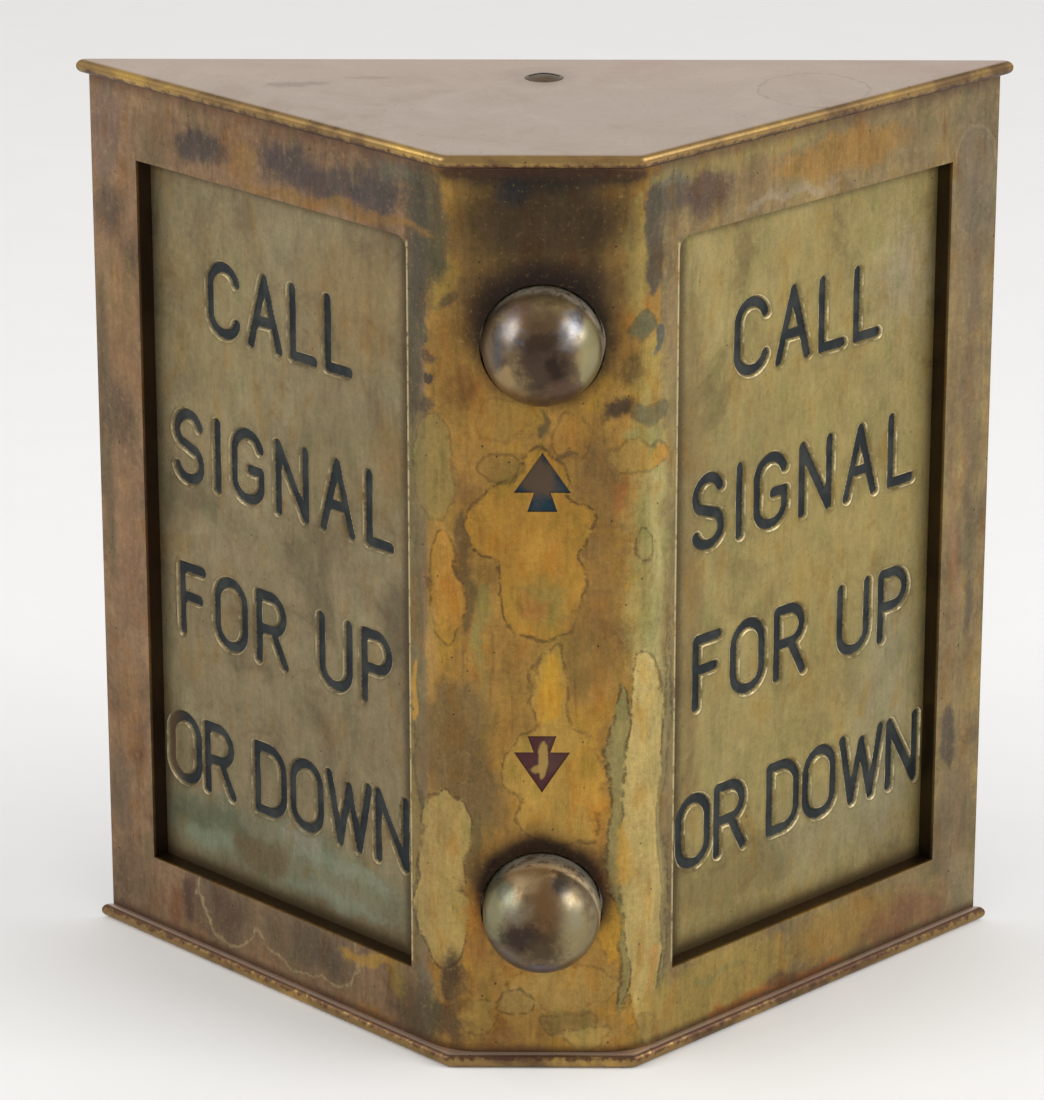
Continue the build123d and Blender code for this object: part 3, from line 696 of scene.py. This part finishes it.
def line_distance(px, pz, run):
    """Distance to a run of straight lines, from points given as offsets from the glyph's foot."""
    ends = list(zip(run[::2], run[1::2]))
    nearest = np.full(px.shape, np.inf)
    for (x0, z0), (x1, z1) in zip(ends, ends[1:]):
        du, dz = x1 - x0, z1 - z0
        t = np.clip(((px - x0) * du + (pz - z0) * dz) / (du * du + dz * dz), 0, 1)
        nearest = np.minimum(nearest, np.hypot(px - x0 - t * du, pz - z0 - t * dz))
    return nearest


def arc_distance(px, pz, cx, cz, rx, rz, start, end):
    """Distance to an elliptic arc, along the ray from its centre, or to its nearer end beyond the arc."""
    px, pz = px - cx, pz - cz
    turn = np.mod(np.arctan2(pz / rz, px / rx) - start, 2 * math.pi)
    scaled = np.maximum(np.hypot(px / rx, pz / rz), 1e-6)
    reach = np.hypot(px, pz)
    to_curve = np.minimum(np.abs(reach - reach / scaled), np.abs(scaled - 1) * max(rx, rz))
    ends = [np.hypot(px - rx * math.cos(a), pz - rz * math.sin(a)) for a in (start, end)]
    return np.where(turn <= end - start, to_curve, np.minimum(*ends))


def row_width(text, gap):
    return sum(GLYPHS[letter][0] for letter in text) + gap * (len(text) - 1)


def lettering_distance(u, z, sizes, centre_u):
    """Signed distance in millimetres to the edge of the engraved strokes, negative inside them."""
    height, stroke = sizes.letter_height / MM, sizes.stroke / MM
    nearest = np.full(u.shape, 20.0)
    for row, (text, gap) in enumerate(SIGN_ROWS):
        foot = (sizes.first_row - row * sizes.row_pitch) / MM - height / 2
        left = centre_u - row_width(text, gap) * height / 2
        for letter in text:
            width, strokes = GLYPHS[letter]
            for item in strokes:
                if item[0] == "arc":
                    sizes_mm = [value * height for value in item[1:5]]
                    away = arc_distance(u - left, z - foot, *sizes_mm, *np.radians(item[5:]))
                else:
                    away = line_distance(u - left, z - foot, [value * height for value in item])
                nearest = np.minimum(nearest, away)
            left += (width + gap) * height
    return nearest - stroke


# ---------------------------------------------------------------- sign plates

def sign_span():
    """The sign plate's low and high end, measured along the side's face from the facet's edge."""
    low = (SIGN_LOW[0] + (CASE_WALL + SIGN_THICKNESS) * SIDE - FACET_HALF) / SIDE
    high = (SIGN_HIGH[0] + CASE_WALL * SIDE - FACET_HALF) / SIDE
    return low, high


def spread(low, high, dense, step, dense_step):
    """Rising values from low to high, closer together inside the dense spans."""
    marks = [low]
    for start, end in dense:
        marks += list(np.linspace(marks[-1], start, max(2, round((start - marks[-1]) / step) + 1))[1:])
        marks += list(np.linspace(start, end, round((end - start) / dense_step) + 1)[1:])
    marks += list(np.linspace(marks[-1], high, max(2, round((high - marks[-1]) / step) + 1))[1:])
    return np.array(marks)


def sign_surface(side, sizes):
    """The sign plate as one closed surface, and its distance to the lettering at each point.

    The face is a grid over the distance along the side and the height. Its inward depth is the plate's
    face depth, plus the groove depth inside the strokes, less a low rounded burr just outside them.
    """
    low, high = sign_span()
    height = sizes.letter_height / MM
    centre_u = (low + high) / 2 + 2.0
    rows = [(sizes.first_row - row * sizes.row_pitch) / MM for row in range(len(SIGN_ROWS))]
    dense_rows = [(z - height / 2 - 2.2, z + height / 2 + 2.2) for z in reversed(rows)]
    u_marks = spread(low, high, [(centre_u - 42.0, centre_u + 42.0)], 1.4, 0.31)
    z_marks = spread(SIGN_LOW[2], SIGN_HIGH[2], dense_rows, 2.0, 0.31)
    u, z = np.meshgrid(u_marks, z_marks)
    reading_u = u if side == "right" else 2 * centre_u - u
    distance = lettering_distance(reading_u, z, sizes, centre_u)
    groove = 1 / (1 + np.exp(np.clip(distance / 0.12, -40, 40)))
    wobble = 0.5 + 0.5 * np.sin(0.55 * u + 1.7 * np.sin(0.21 * z)) * np.cos(0.37 * z + 0.9)
    burr = np.exp(-((distance - 0.38) / 0.26) ** 2) * (0.45 + 0.75 * wobble)
    depth = CASE_WALL + 0.02 + groove * sizes.groove_depth / MM - burr * sizes.burr / MM
    along = np.concatenate([u.ravel(), u.ravel()])
    inward = np.concatenate([depth.ravel(), np.full(u.size, CASE_WALL + SIGN_THICKNESS)])
    up = np.concatenate([z.ravel(), z.ravel()])
    keep_back = np.zeros(u.shape, bool)
    keep_back[[0, -1], :] = True
    keep_back[:, [0, -1]] = True
    x = FACET_HALF + (along - inward) * SIDE
    y = FACE_Y + (along + inward) * SIDE
    points = np.stack([x if side == "right" else -x, y, up], axis=1)
    count_z, count_u = u.shape
    front = grid_quads(count_z, count_u)
    index = np.arange(u.size).reshape(u.shape)
    rim = np.concatenate([index[0, :-1], index[:-1, -1], index[-1, :0:-1], index[:0:-1, 0]])
    after = np.roll(rim, -1)
    new_index = np.full(u.size * 2, -1)
    used = np.concatenate([np.ones(u.size, bool), keep_back.ravel()])
    new_index[used] = np.arange(used.sum())
    walls = np.stack([after, rim, rim + u.size, after + u.size], axis=1)
    back = [new_index[rim[::-1] + u.size]]
    faces = [new_index[front], new_index[walls]]
    if side == "left":
        faces = [part[:, ::-1] for part in faces]
        back = [part[::-1] for part in back]
    face_list = [row for part in faces for row in part.tolist()] + [part.tolist() for part in back]
    values = np.concatenate([distance.ravel(), np.full(keep_back.sum(), 5.0)])
    return points[used], face_list, values


def sign_material(side, colours):
    """Fine-grained olive grey brass with dark filler in the engraving, read from the groove attribute."""
    material, tree, inputs = new_material(f"{side} sign brass", 0.7)
    place = use(tree, "place", {"Warp": 0.8})
    base = colours.sign_brass if side == "right" else colours.left_sign_brass
    dark, bright = ("6f5f41", "a09164") if side == "right" else ("665a46", "938868")
    layer = tarnish(tree, base, place["Solid"], dark, bright, 0.6, 0.35, 0.1)
    sign = 1.0 if side == "right" else -1.0
    low, high = sign_span()
    start, end = FACET_HALF + low + SIGN_LAP, FACET_HALF + high - SIGN_LAP
    middle = sign * (start + end) / 2
    common = [
        (middle + sign * 20, 45.0, 18.0, 24.0, "93845c", 0.8, 0.45),
        (middle - sign * 22, 25.0, 16.0, 14.0, "7a6c4a", 0.8, 0.4),
    ]
    left_only = [
        (-47, 62, 14, 13, "8c744a", 0.7, 0.5),
        (-37, 30, 5, 10, "87693c", 0.7, 0.5),
        (-36, -6, 4.6, 9, "5f523f", 0.7, 0.6),
        (-75, -72, 44, 9, "747660", 0.5, 0.7),
        (-96, -70, 13, 4, "5d614b", 0.6, 0.75),
        (-98, -74, 8, 2.2, "7f8872", 0.7, 0.6),
        (-82, -73.5, 10, 4.4, "66553a", 0.5, 0.75),
        (-54, -69.5, 16, 2, "858a74", 0.7, 0.65),
        (-68, -66.5, 6, 2, "8f8a7e", 0.8, 0.55),
        (-56, -77.5, 18, 1.6, "848c78", 0.7, 0.5),
    ]
    right_only = [
        (middle, 5.0, 26.0, 60.0, "9b8a54", 0.9, 0.5),
        (104, 58, 8, 9, "9d9279", 0.9, 0.55),
        (36.5, 10, 3.5, 60, "786342", 0.8, 0.55),
        (101, -45, 9, 30, "8d866e", 0.9, 0.6),
        (52, -70, 20, 7, "73623f", 0.8, 0.55),
        (84, -66, 20, 8, "8b8468", 0.9, 0.5),
    ]
    laid_marks = common + (right_only if side == "right" else left_only)
    colour = lay_stains_and_painted_light(tree, layer["Colour"], place["Place"], place["Mottle"], laid_marks)
    even = split(tree, place["Even Place"])
    wavy = split(tree, place["Place"])
    along = times(tree, even[0], sign)
    edge = calc(tree, "MINIMUM", calc(tree, "SUBTRACT", along, start), calc(tree, "SUBTRACT", end, along))
    edge_z = calc(tree, "MINIMUM", calc(tree, "SUBTRACT", SIGN_HIGH[2] - SIGN_END_LAP, even[1]),
                  calc(tree, "SUBTRACT", even[1], SIGN_LOW[2] + SIGN_END_LAP))
    edge = calc(tree, "MINIMUM", edge, edge_z)
    colour = use(tree, "weather", {"Colour": colour, "Place": place["Solid"], "Strength": 0.75})["Colour"]
    speckle = noise(tree, place["Solid"], 1.6, 4.0, 0.7)["Fac"]
    edge = calc(tree, "SUBTRACT", edge, times(tree, speckle, 2.6))
    # painted shade: the sign darkens within a few millimetres of the window frame that laps over it, broken
    # by speckled dirt
    edge_grime_and_shade = ramp_value(tree, edge, 2.2, -0.9, 0.0, 0.8)
    colour = blend_colours(tree, edge_grime_and_shade, colour, tint("443626"))
    foot = ramp_value(tree, wavy[1], SIGN_LOW[2] + 14.0, SIGN_LOW[2] + 7.0, 0.0, 0.55)
    colour = blend_colours(tree, foot, colour, tint("54452f"))
    groove = put(tree, "ShaderNodeAttribute", attribute_name="groove").outputs["Fac"]
    rough_edge = calc(tree, "ADD", groove, times(tree, calc(tree, "SUBTRACT", speckle, 0.5), 0.5))
    halo = ramp_value(tree, rough_edge, 1.3, 0.2, 0.0, 0.35)
    colour = blend_colours(tree, halo, colour, tint("5d5038"))
    # painted highlight: the raised burr beside the strokes is lightened where it catches the light, more on
    # the right sign
    lip = ramp_value(tree, size_of(tree, calc(tree, "SUBTRACT", rough_edge, 0.3)), 0.0, 0.26, 1.0, 0.0)
    patchy = ramp_value(tree, noise(tree, place["Solid"], 0.25, 3.0)["Fac"], 0.42, 0.6)
    lip = times(tree, times(tree, lip, patchy), 0.9 if side == "right" else 0.45)
    colour = blend_colours(tree, lip, colour, tint("d9caa0"))
    fill_tone = ramp_value(tree, noise(tree, place["Solid"], 0.16, 3.0)["Fac"], 0.4, 0.65)
    fill = blend_colours(tree, fill_tone, colours.filler, tint("373a38"))
    if side == "left":
        worn = ramp_value(tree, along, end - 13.0, end - 2.0, 0.0, 0.95)
        worn = times(tree, worn, ramp_value(tree, wavy[1], 40.0, 28.0))
        fill = blend_colours(tree, worn, fill, tint("745a3d"))
    in_groove = ramp_value(tree, rough_edge, 0.02, -0.22)
    colour = blend_colours(tree, in_groove, colour, fill)
    grain = noise(tree, place["Solid"], 2.3, 3.0, 0.65)["Fac"]
    height = calc(tree, "ADD", grain, times(tree, layer["Height"], 0.6))
    finish_shader(tree, inputs, colour, layer["Gloss"], height, (0.42, 0.55), 0.06)
    inputs["Specular IOR Level"].default_value = 0.12
    metal = ramp_value(tree, in_groove, 0.0, 1.0, 0.7, 0.05)
    tree.links.new(metal, inputs["Metallic"])
    return material


# ---------------------------------------------------------------- operators

class StationStep:
    """One step of the build, run with the scene's colours and sizes."""

    def execute(self, context):
        self.build(context.scene.station_colours, context.scene.station_sizes)
        return {"FINISHED"}


class STATION_OT_case(StationStep, bpy.types.Operator):
    """Finish the cast case in mottled old brass, one finish for each face"""
    bl_idname = "station.case"
    bl_label = "Case"

    def build(self, colours, sizes):
        case = refined_copy("case_shell", "case_casting", "case", sizes.edge_round)
        reach = FACET_HALF + (CASE_HIGH[0] - FACET_HALF) / SIDE
        finishes = (
            case_material("front brass", colours.front_brass, "6f5130", "a9812f", -30, 30),
            case_material("left brass", colours.left_brass, "5f4b3c", "94795a", -reach, -FACET_HALF - 3),
            case_material("right brass", colours.right_brass, "665843", "9c8553", FACET_HALF + 3, reach),
        )
        set_materials(case, *finishes)
        count = len(case.data.polygons)
        centres = np.zeros(count * 3)
        case.data.polygons.foreach_get("center", centres)
        x = centres.reshape(-1, 3)[:, 0] / MM
        normals = np.zeros(count * 3)
        case.data.polygons.foreach_get("normal", normals)
        lean = normals.reshape(-1, 3)[:, 0]
        slots = np.where((np.abs(lean) > 0.69) & (x < -20), 1, 0)
        slots = np.where((np.abs(lean) > 0.69) & (x > 20), 2, slots)
        case.data.polygons.foreach_set("material_index", slots.astype(np.int32))


def plate_material(colours):
    """Pale warm brass on the flat face, turning to golden brown on the round rim."""
    material, tree, inputs = new_material("end plate brass")
    place = use(tree, "place", {"Warp": 0.9})
    layer = tarnish(tree, colours.plate_brass, place["Solid"], "b19f8c", "cbb7a6", 0.5, 0.12, 0.0)
    rim = tarnish(tree, tint("8f7346"), place["Solid"], "5c4631", "b8954f", 0.8, 0.3, 0.0)
    normal = split(tree, put(tree, "ShaderNodeNewGeometry").outputs["Normal"])
    parts = split(tree, place["Solid"])
    warped = split(tree, place["Place"])
    flat = ramp_value(tree, size_of(tree, normal[2]), 0.8, 0.985)
    flatwise = put(tree, "ShaderNodeCombineXYZ", {0: warped[0], 1: parts[1], 2: 0.0}).outputs[0]
    laid_marks = [
        (0, 0, 150, 26, "c9b0a0", 0.6, 0.5),
        ([(-70, -23, 7, 2.2), (-61, -22, 4, 1.4)], "8f7e6c", 0.7, 0.6),
        (-45, -17, 6, 1, "a08f7e", 0.7, 0.5),
        (74, -27, 16, 15, "c4b0a0", 0.3, 0.15, 0.5, "978674"),
        (0, -16.3, 7, 7, "a3917f", 0.5, 0.5),
    ]
    face = lay_stains_and_painted_light(tree, layer["Colour"], flatwise, place["Mottle"], laid_marks)
    seam = calc(tree, "SUBTRACT", size_of(tree, parts[2]), CASE_TOP)
    seam = calc(tree, "MULTIPLY_ADD", place["Mottle"], -0.7, seam)
    edge = blend_colours(tree, ramp_value(tree, seam, 1.5, 0.5, 0.0, 0.85), rim["Colour"], tint("4b2f26"))
    colour = blend_colours(tree, flat, edge, face)
    finish_shader(tree, inputs, colour, layer["Gloss"], layer["Height"], (0.26, 0.4), 0.02)
    return material


class STATION_OT_end_plates(StationStep, bpy.types.Operator):
    """Finish the round-edged end plates and the screws that hold the case to the back"""
    bl_idname = "station.end_plates"
    bl_label = "End plates"

    def build(self, colours, sizes):
        brass = plate_material(colours)
        worn = handled_material("worn screw brass", tint("6a5a44"), "33291f", "a08a62")
        for end in ("top", "bottom"):
            plate = refined_copy(f"{end}_plate", f"{end}_end_plate", "case", 0.12 * MM, 25.0)
            set_materials(plate, brass)
            screw = refined_copy(f"{end}_cover_screw", f"{end}_holding_screw", "case",
                                 0.08 * MM)
            set_materials(screw, worn)


class STATION_OT_sign_plates(StationStep, bpy.types.Operator):
    """Engrave the two recessed sign plates with generic words"""
    bl_idname = "station.sign_plates"
    bl_label = "Sign plates"

    def build(self, colours, sizes):
        for side in ("left", "right"):
            points, faces, distance = sign_surface(side, sizes)
            sign = mesh_object(f"{side}_engraved_sign", points, faces)
            groove = sign.data.attributes.new("groove", "FLOAT", "POINT")
            groove.data.foreach_set("value", distance.astype(np.float32))
            sign.data.set_sharp_from_angle(angle=math.radians(60))
            set_materials(sign, sign_material(side, colours))
            stand_in(sign, f"{side}_sign_plate", "case")


class STATION_OT_arrows(StationStep, bpy.types.Operator):
    """Fill the two engraved arrows with dark, worn filler"""
    bl_idname = "station.arrows"
    bl_label = "Arrows"

    def build(self, colours, sizes):
        for name, tone, worn_tone in (("up", "1b323d", "574330"), ("down", "4a2a2a", "9c8045")):
            material, tree, inputs = new_material(f"{name} arrow filler", 0.1)
            inputs["Specular IOR Level"].default_value = 0.12
            place = use(tree, "place", {"Warp": 0.5})
            low, high = (np.array(corner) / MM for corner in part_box(f"{name}_arrow_fill"))
            middle = (low + high) / 2
            layer = tarnish(tree, tint(tone), place["Solid"], "1f2326", "5a4c40", 0.3, 0.5, 0.2)
            if name == "up":
                worn = [([(middle[0] - 1.2, high[2] - 5.5, 3.6, 4.6)], worn_tone, 0.4, 0.8)]
            else:
                worn = [([(middle[0], middle[2] + 1.0, 1.1, 4.4)], worn_tone, 0.25, 0.9),
                        ([(middle[0] - 1.2, middle[2] - 0.6, 1.5, 1.0)], worn_tone, 0.3, 0.8)]
            colour = lay_stains_and_painted_light(tree, layer["Colour"], place["Place"], place["Mottle"], worn)
            finish_shader(tree, inputs, colour, layer["Gloss"], layer["Height"], (0.45, 0.6), 0.08)
            set_materials(frame["nodes"][f"{name}_arrow_fill"], material)


def handled_material(name, base, dark, bright, laid_marks=(), rough=(0.22, 0.36), glint=()):
    """Turned brass darkened and polished by hands, with marks laid over it; the glint, a thin painted
    highlight, lies unwarped over the other marks.
    """
    material, tree, inputs = new_material(name, 0.9)
    place = use(tree, "place", {"Warp": 0.6})
    finer = vector_calc(tree, "MULTIPLY", place["Solid"], (2.2,) * 3)
    layer = tarnish(tree, base, finer, dark, bright, 0.75, 0.35, 0.0)
    colour = lay_stains_and_painted_light(tree, layer["Colour"], place["Place"], place["Mottle"], laid_marks)
    colour = lay_stains_and_painted_light(tree, colour, place["Even Place"], place["Mottle"], glint)
    finish_shader(tree, inputs, colour, layer["Gloss"], layer["Height"], rough, 0.02)
    return material


def button_profile(name):
    """Radius and Y of the button cap's outline, from the middle of its dome to the middle of its recess.

    The dome is half an ellipse; it runs into a straight skirt with a small flange, and a round recess
    behind it for the spring.
    """
    low, high = BUTTON_BOXES[name]
    flange = (high[0] - low[0]) / 2
    radius = flange - 2.4
    apex, back = low[1], high[1]
    rise = np.linspace(math.pi / 2, 0, 40)
    curve = [(radius * math.cos(a), apex + DOME_HEIGHT * (1 - math.sin(a))) for a in rise]
    skirt = [(radius, back - 3.2), (flange - 0.2, back - 3.2), (flange, back - 3.0), (flange, back - 1.2),
             (radius, back - 1.2), (radius, back), (8.0, back), (8.0, FACE_Y + 1.5), (0.0, FACE_Y + 1.5)]
    return np.array(curve + skirt)


def button_surface(name, steps=128):
    """The profile turned about the button's axis, with slight dents on the dome.

    The dents are a sum of slow waves over height and breadth, a few hundredths of a millimetre deep.
    """
    low, high = BUTTON_BOXES[name]
    middle = (low + high) / 2
    outline = button_profile(name)
    turn = np.linspace(0, 2 * math.pi, steps, endpoint=False)
    radius, depth = outline[1:-1, 0][:, None], outline[1:-1, 1][:, None]
    x = radius * np.cos(turn)
    z = radius * np.sin(turn)
    waves = np.sin(0.9 * x + 0.4 * z) * np.cos(0.7 * z - 0.3 * x) + 0.6 * np.sin(1.7 * x - 1.1 * z + 1.0)
    on_dome = (depth < FACE_Y - 1.5).astype(float)
    y = depth + 0.035 * (waves + 1.6) * on_dome
    ring = np.stack([x + middle[0], y + 0 * x, z + middle[2]], axis=2).reshape(-1, 3)
    apex = (middle[0], outline[0, 1], middle[2])
    centre = (middle[0], outline[-1, 1], middle[2])
    points = np.concatenate([[apex], ring, [centre]])
    rows = len(outline) - 2
    faces = (grid_quads(rows, steps, closed=True) + 1).tolist()
    last = len(points) - 1
    start = 1 + (rows - 1) * steps
    step = np.arange(steps)
    after = (step + 1) % steps
    faces += np.stack([np.zeros(steps, int), 1 + after, 1 + step], axis=1).tolist()
    faces += np.stack([np.full(steps, last), start + step, start + after], axis=1).tolist()
    return points, faces


class STATION_OT_buttons(StationStep, bpy.types.Operator):
    """Turn the two domed buttons and give them their handled finish"""
    bl_idname = "station.buttons"
    bl_label = "Buttons"

    def build(self, colours, sizes):
        # Each button's marks: x and z from the dome's middle, half sizes, colour, softness and amount. The
        # first of each, the pale top of the dome, is a painted highlight of the bright sky; the large dark
        # marks round the middle are dark patina with a painted dark reflection; the rest are patina and dirt.
        marks = {
            "upper": [(0, 12, 9, 2.6, "a8946a", 0.5, 0.85), (0, 7.2, 4.4, 4, "604b36", 0.6, 0.7),
                      (0.4, -0.6, 5.6, 6.2, "40322a", 0.5, 0.85), (-1, 4.9, 5, 1.3, "3f3126", 0.5, 0.8),
                      (9.9, -0.6, 2.5, 8, "958d66", 0.3, 0.85), (7.4, 7.4, 1.8, 1.8, "4f4d52", 0.5, 0.8),
                      (-7.8, -4.4, 2.2, 4.2, "a3895e", 0.4, 0.75), (-5.6, -7.6, 3.4, 1.8, "8c7047", 0.5, 0.7),
                      (2.2, -0.8, 1.7, 2.8, "2a2019", 0.6, 0.8), (3.4, -6.8, 3, 2.6, "5e443a", 0.5, 0.6),
                      (-4.8, 9.3, 2.8, 1.6, "7d5f4e", 0.6, 0.6),
                      # painted highlights of the two softboxes on the upper dome
                      (-6.6, 6.2, 2.6, 2.6, "828388", 0.8, 0.5), (6, 5.8, 2.4, 3, "8c8e93", 0.8, 0.6),
                      (-9.9, 2.2, 1.4, 4.2, "55565a", 0.6, 0.6)],
            "lower": [(0, 11.8, 9, 2.6, "b39a74", 0.5, 0.85), (8, -1.2, 4.4, 7.6, "978a62", 0.5, 0.75),
                      (-10.2, 2.2, 2.4, 6, "8d8a68", 0.5, 0.75), (0, 4.4, 3.6, 6, "6f5233", 0.6, 0.85),
                      (-1.2, -3, 5.8, 5, "3f3225", 0.7, 0.85), (-5.8, -1.2, 3.8, 3.6, "372c28", 0.6, 0.85),
                      (-8.6, -7.2, 3, 3, "6f655c", 0.5, 0.7), (-1, -10.6, 7, 1.9, "6b6570", 0.5, 0.7),
                      (-8, 8, 2.4, 1.8, "646a58", 0.4, 0.75), (4.1, 9.2, 2.2, 1.9, "33302f", 0.5, 0.85),
                      # painted highlights of the two softboxes on the lower dome
                      (-6.2, 5.6, 2.6, 2.4, "8e8c78", 0.8, 0.5), (7, 4.6, 2.8, 3, "8f8a78", 0.8, 0.5)],
        }
        for name in ("upper", "lower"):
            points, faces = button_surface(name)
            cap = mesh_object(f"{name}_domed_cap", points, faces)
            rebuilt = bmesh.new()
            rebuilt.from_mesh(cap.data)
            bmesh.ops.recalc_face_normals(rebuilt, faces=rebuilt.faces)
            rebuilt.to_mesh(cap.data)
            rebuilt.free()
            cap.data.set_sharp_from_angle(angle=math.radians(40))
            low, high = BUTTON_BOXES[name]
            x, z = (low[0] + high[0]) / 2, (low[2] + high[2]) / 2
            laid_marks = [(x + mark[0], z + mark[1], *mark[2:]) for mark in marks[name]]
            # painted highlight: a thin pale ring along the dome's rim, drawn as the rim line of an oval with
            # no fill
            glint = [(x - 0.35, z - 0.5, 13.05, 13.05, "fff4da", 0.1, 0.0, 0.75, "fff4da")]
            brass = handled_material(f"{name} button brass", colours.button_brass, "4a3a2a", "94805a", laid_marks,
                                     (0.3, 0.42), glint)
            set_materials(cap, brass)
            stand_in(cap, f"{name}_button_cap", f"{name}_button")


class STATION_OT_works(StationStep, bpy.types.Operator):
    """Finish the pieces inside and at the back"""
    bl_idname = "station.works"
    bl_label = "Works"

    def build(self, colours, sizes):
        finishes = {
            "fixing_brass": handled_material("turned fixing brass", tint("9a7a45"), "5a4630", "c0a060"),
            "contact_brass": handled_material("contact strip", tint("a8794a"), "6a4a30", "c89a66"),
            "turned_steel": handled_material("turned steel", tint("8b8b88"), "5c5a56", "b4b2ac"),
            "spring_steel": handled_material("spring wire", tint("7c7b78"), "4b4843", "a09d96"),
            "back_steel": handled_material("back sheet steel", tint("6d6a64"), "645e55", "76736d",
                                           rough=(0.4, 0.6)),
            "screw_brass": handled_material("dark screw brass", tint("6a5a44"), "33291f", "a08a62"),
            "fibre": fibre_material(),
        }
        slots = {entry["node"]: entry["material_slot"] for entry in frame["record"]["subparts"]}
        for node, obj in frame["nodes"].items():
            if slots[node] in finishes:
                set_materials(obj, finishes[slots[node]])
        for name in ("upper", "lower"):
            spring = refined_copy(f"{name}_return_spring", f"{name}_coil_spring", "case", 0)
            set_materials(spring, finishes["spring_steel"])
            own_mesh(spring)


def fibre_material():
    """Dull red-brown pressed fibre with fine fleck."""
    material, tree, inputs = new_material("pressed fibre", 0.0)
    place = use(tree, "place", {"Warp": 0.4})
    layer = tarnish(tree, tint("5e2f22"), place["Solid"], "3c1d16", "7b4532", 0.5, 0.5, 0.3)
    finish_shader(tree, inputs, layer["Colour"], layer["Gloss"], layer["Height"], (0.55, 0.75), 0.04)
    return material


def soft_light(name, position, target, size, power, colour=(1.0, 1.0, 1.0)):
    """A square area light that looks at a target."""
    lamp = bpy.data.lights.new(name, "AREA")
    lamp.shape = "SQUARE"
    lamp.size = size
    lamp.energy = power
    lamp.color = colour
    obj = bpy.data.objects.new(name, lamp)
    bpy.context.scene.collection.objects.link(obj)
    obj.location = position
    aim = np.array(target) - np.array(position)
    flat = math.hypot(aim[0], aim[1])
    obj.rotation_euler = (math.pi / 2 + math.atan2(aim[2], flat), 0.0, math.atan2(-aim[0], aim[1]))
    return obj


class STATION_OT_stage(StationStep, bpy.types.Operator):
    """Set the pale floor, the studio lights and the camera"""
    bl_idname = "station.stage"
    bl_label = "Stage"

    def build(self, colours, sizes):
        scene = bpy.context.scene
        floor_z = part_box("bottom_plate")[0][2]
        half = 4000.0
        side = np.linspace(-half, half, 9)
        x, y = np.meshgrid(side, side)
        points = np.stack([x.ravel(), y.ravel(), np.full(x.size, floor_z / MM)], axis=1)
        floor = mesh_object("pale_floor", points, grid_quads(9, 9))
        material, tree, inputs = new_material("pale floor", 0.0)
        grain = noise(tree, put(tree, "ShaderNodeTexCoord").outputs["Object"], 40.0, 2.0)
        shade = blend_colours(tree, grain["Fac"], (0.91, 0.91, 0.91, 1), (0.94, 0.94, 0.94, 1))
        tree.links.new(shade, inputs["Base Color"])
        inputs["Roughness"].default_value = 0.9
        inputs["Specular IOR Level"].default_value = 0.1
        set_materials(floor, material)

        world = bpy.data.worlds.new("studio")
        scene.world = world
        world.use_nodes = True
        background = next(node for node in world.node_tree.nodes if node.type == "BACKGROUND")
        background.inputs["Color"].default_value = (1.0, 0.985, 0.96, 1.0)
        background.inputs["Strength"].default_value = 0.7

        middle = (0.0, FACE_Y * MM * 0.5, 0.0)
        soft_light("left softbox", (-1.19, -0.48, 0.72), middle, 0.75, 7.3)
        soft_light("right softbox", (1.19, -0.48, 0.72), middle, 0.75, 10.0)

        lens = bpy.data.cameras.new("camera")
        lens.sensor_fit = "AUTO"
        lens.sensor_width = 36.0
        lens.lens = 162.6
        lens.clip_start = 0.01
        camera = bpy.data.objects.new("camera", lens)
        scene.collection.objects.link(camera)
        camera.location = (0.0038, -1.0597, 0.3609)
        camera.rotation_euler = (math.radians(90 - 19.368), 0.0, math.radians(0.470))
        scene.camera = camera
        scene.view_settings.view_transform = "Standard"


class STATION_PT_panel(bpy.types.Panel):
    """Buttons that build each part of the call station"""
    bl_idname = "STATION_PT_panel"
    bl_label = "Call station"
    bl_space_type = "VIEW_3D"
    bl_region_type = "UI"
    bl_category = "Call station"

    def draw(self, context):
        for operator in OPERATORS:
            self.layout.operator(operator.bl_idname)


OPERATORS = (STATION_OT_stage, STATION_OT_works, STATION_OT_case, STATION_OT_end_plates,
             STATION_OT_sign_plates, STATION_OT_arrows, STATION_OT_buttons)
CLASSES = (StationSizes, StationColours, *OPERATORS, STATION_PT_panel)


def register():
    for cls in CLASSES:
        bpy.utils.register_class(cls)
    bpy.types.Scene.station_sizes = PointerProperty(type=StationSizes)
    bpy.types.Scene.station_colours = PointerProperty(type=StationColours)


def unregister():
    del bpy.types.Scene.station_sizes
    del bpy.types.Scene.station_colours
    for cls in reversed(CLASSES):
        bpy.utils.unregister_class(cls)


def main():
    register()
    for operator in OPERATORS:
        getattr(bpy.ops.station, operator.bl_idname.split(".")[1])()


if __name__ == "__main__":
    main()
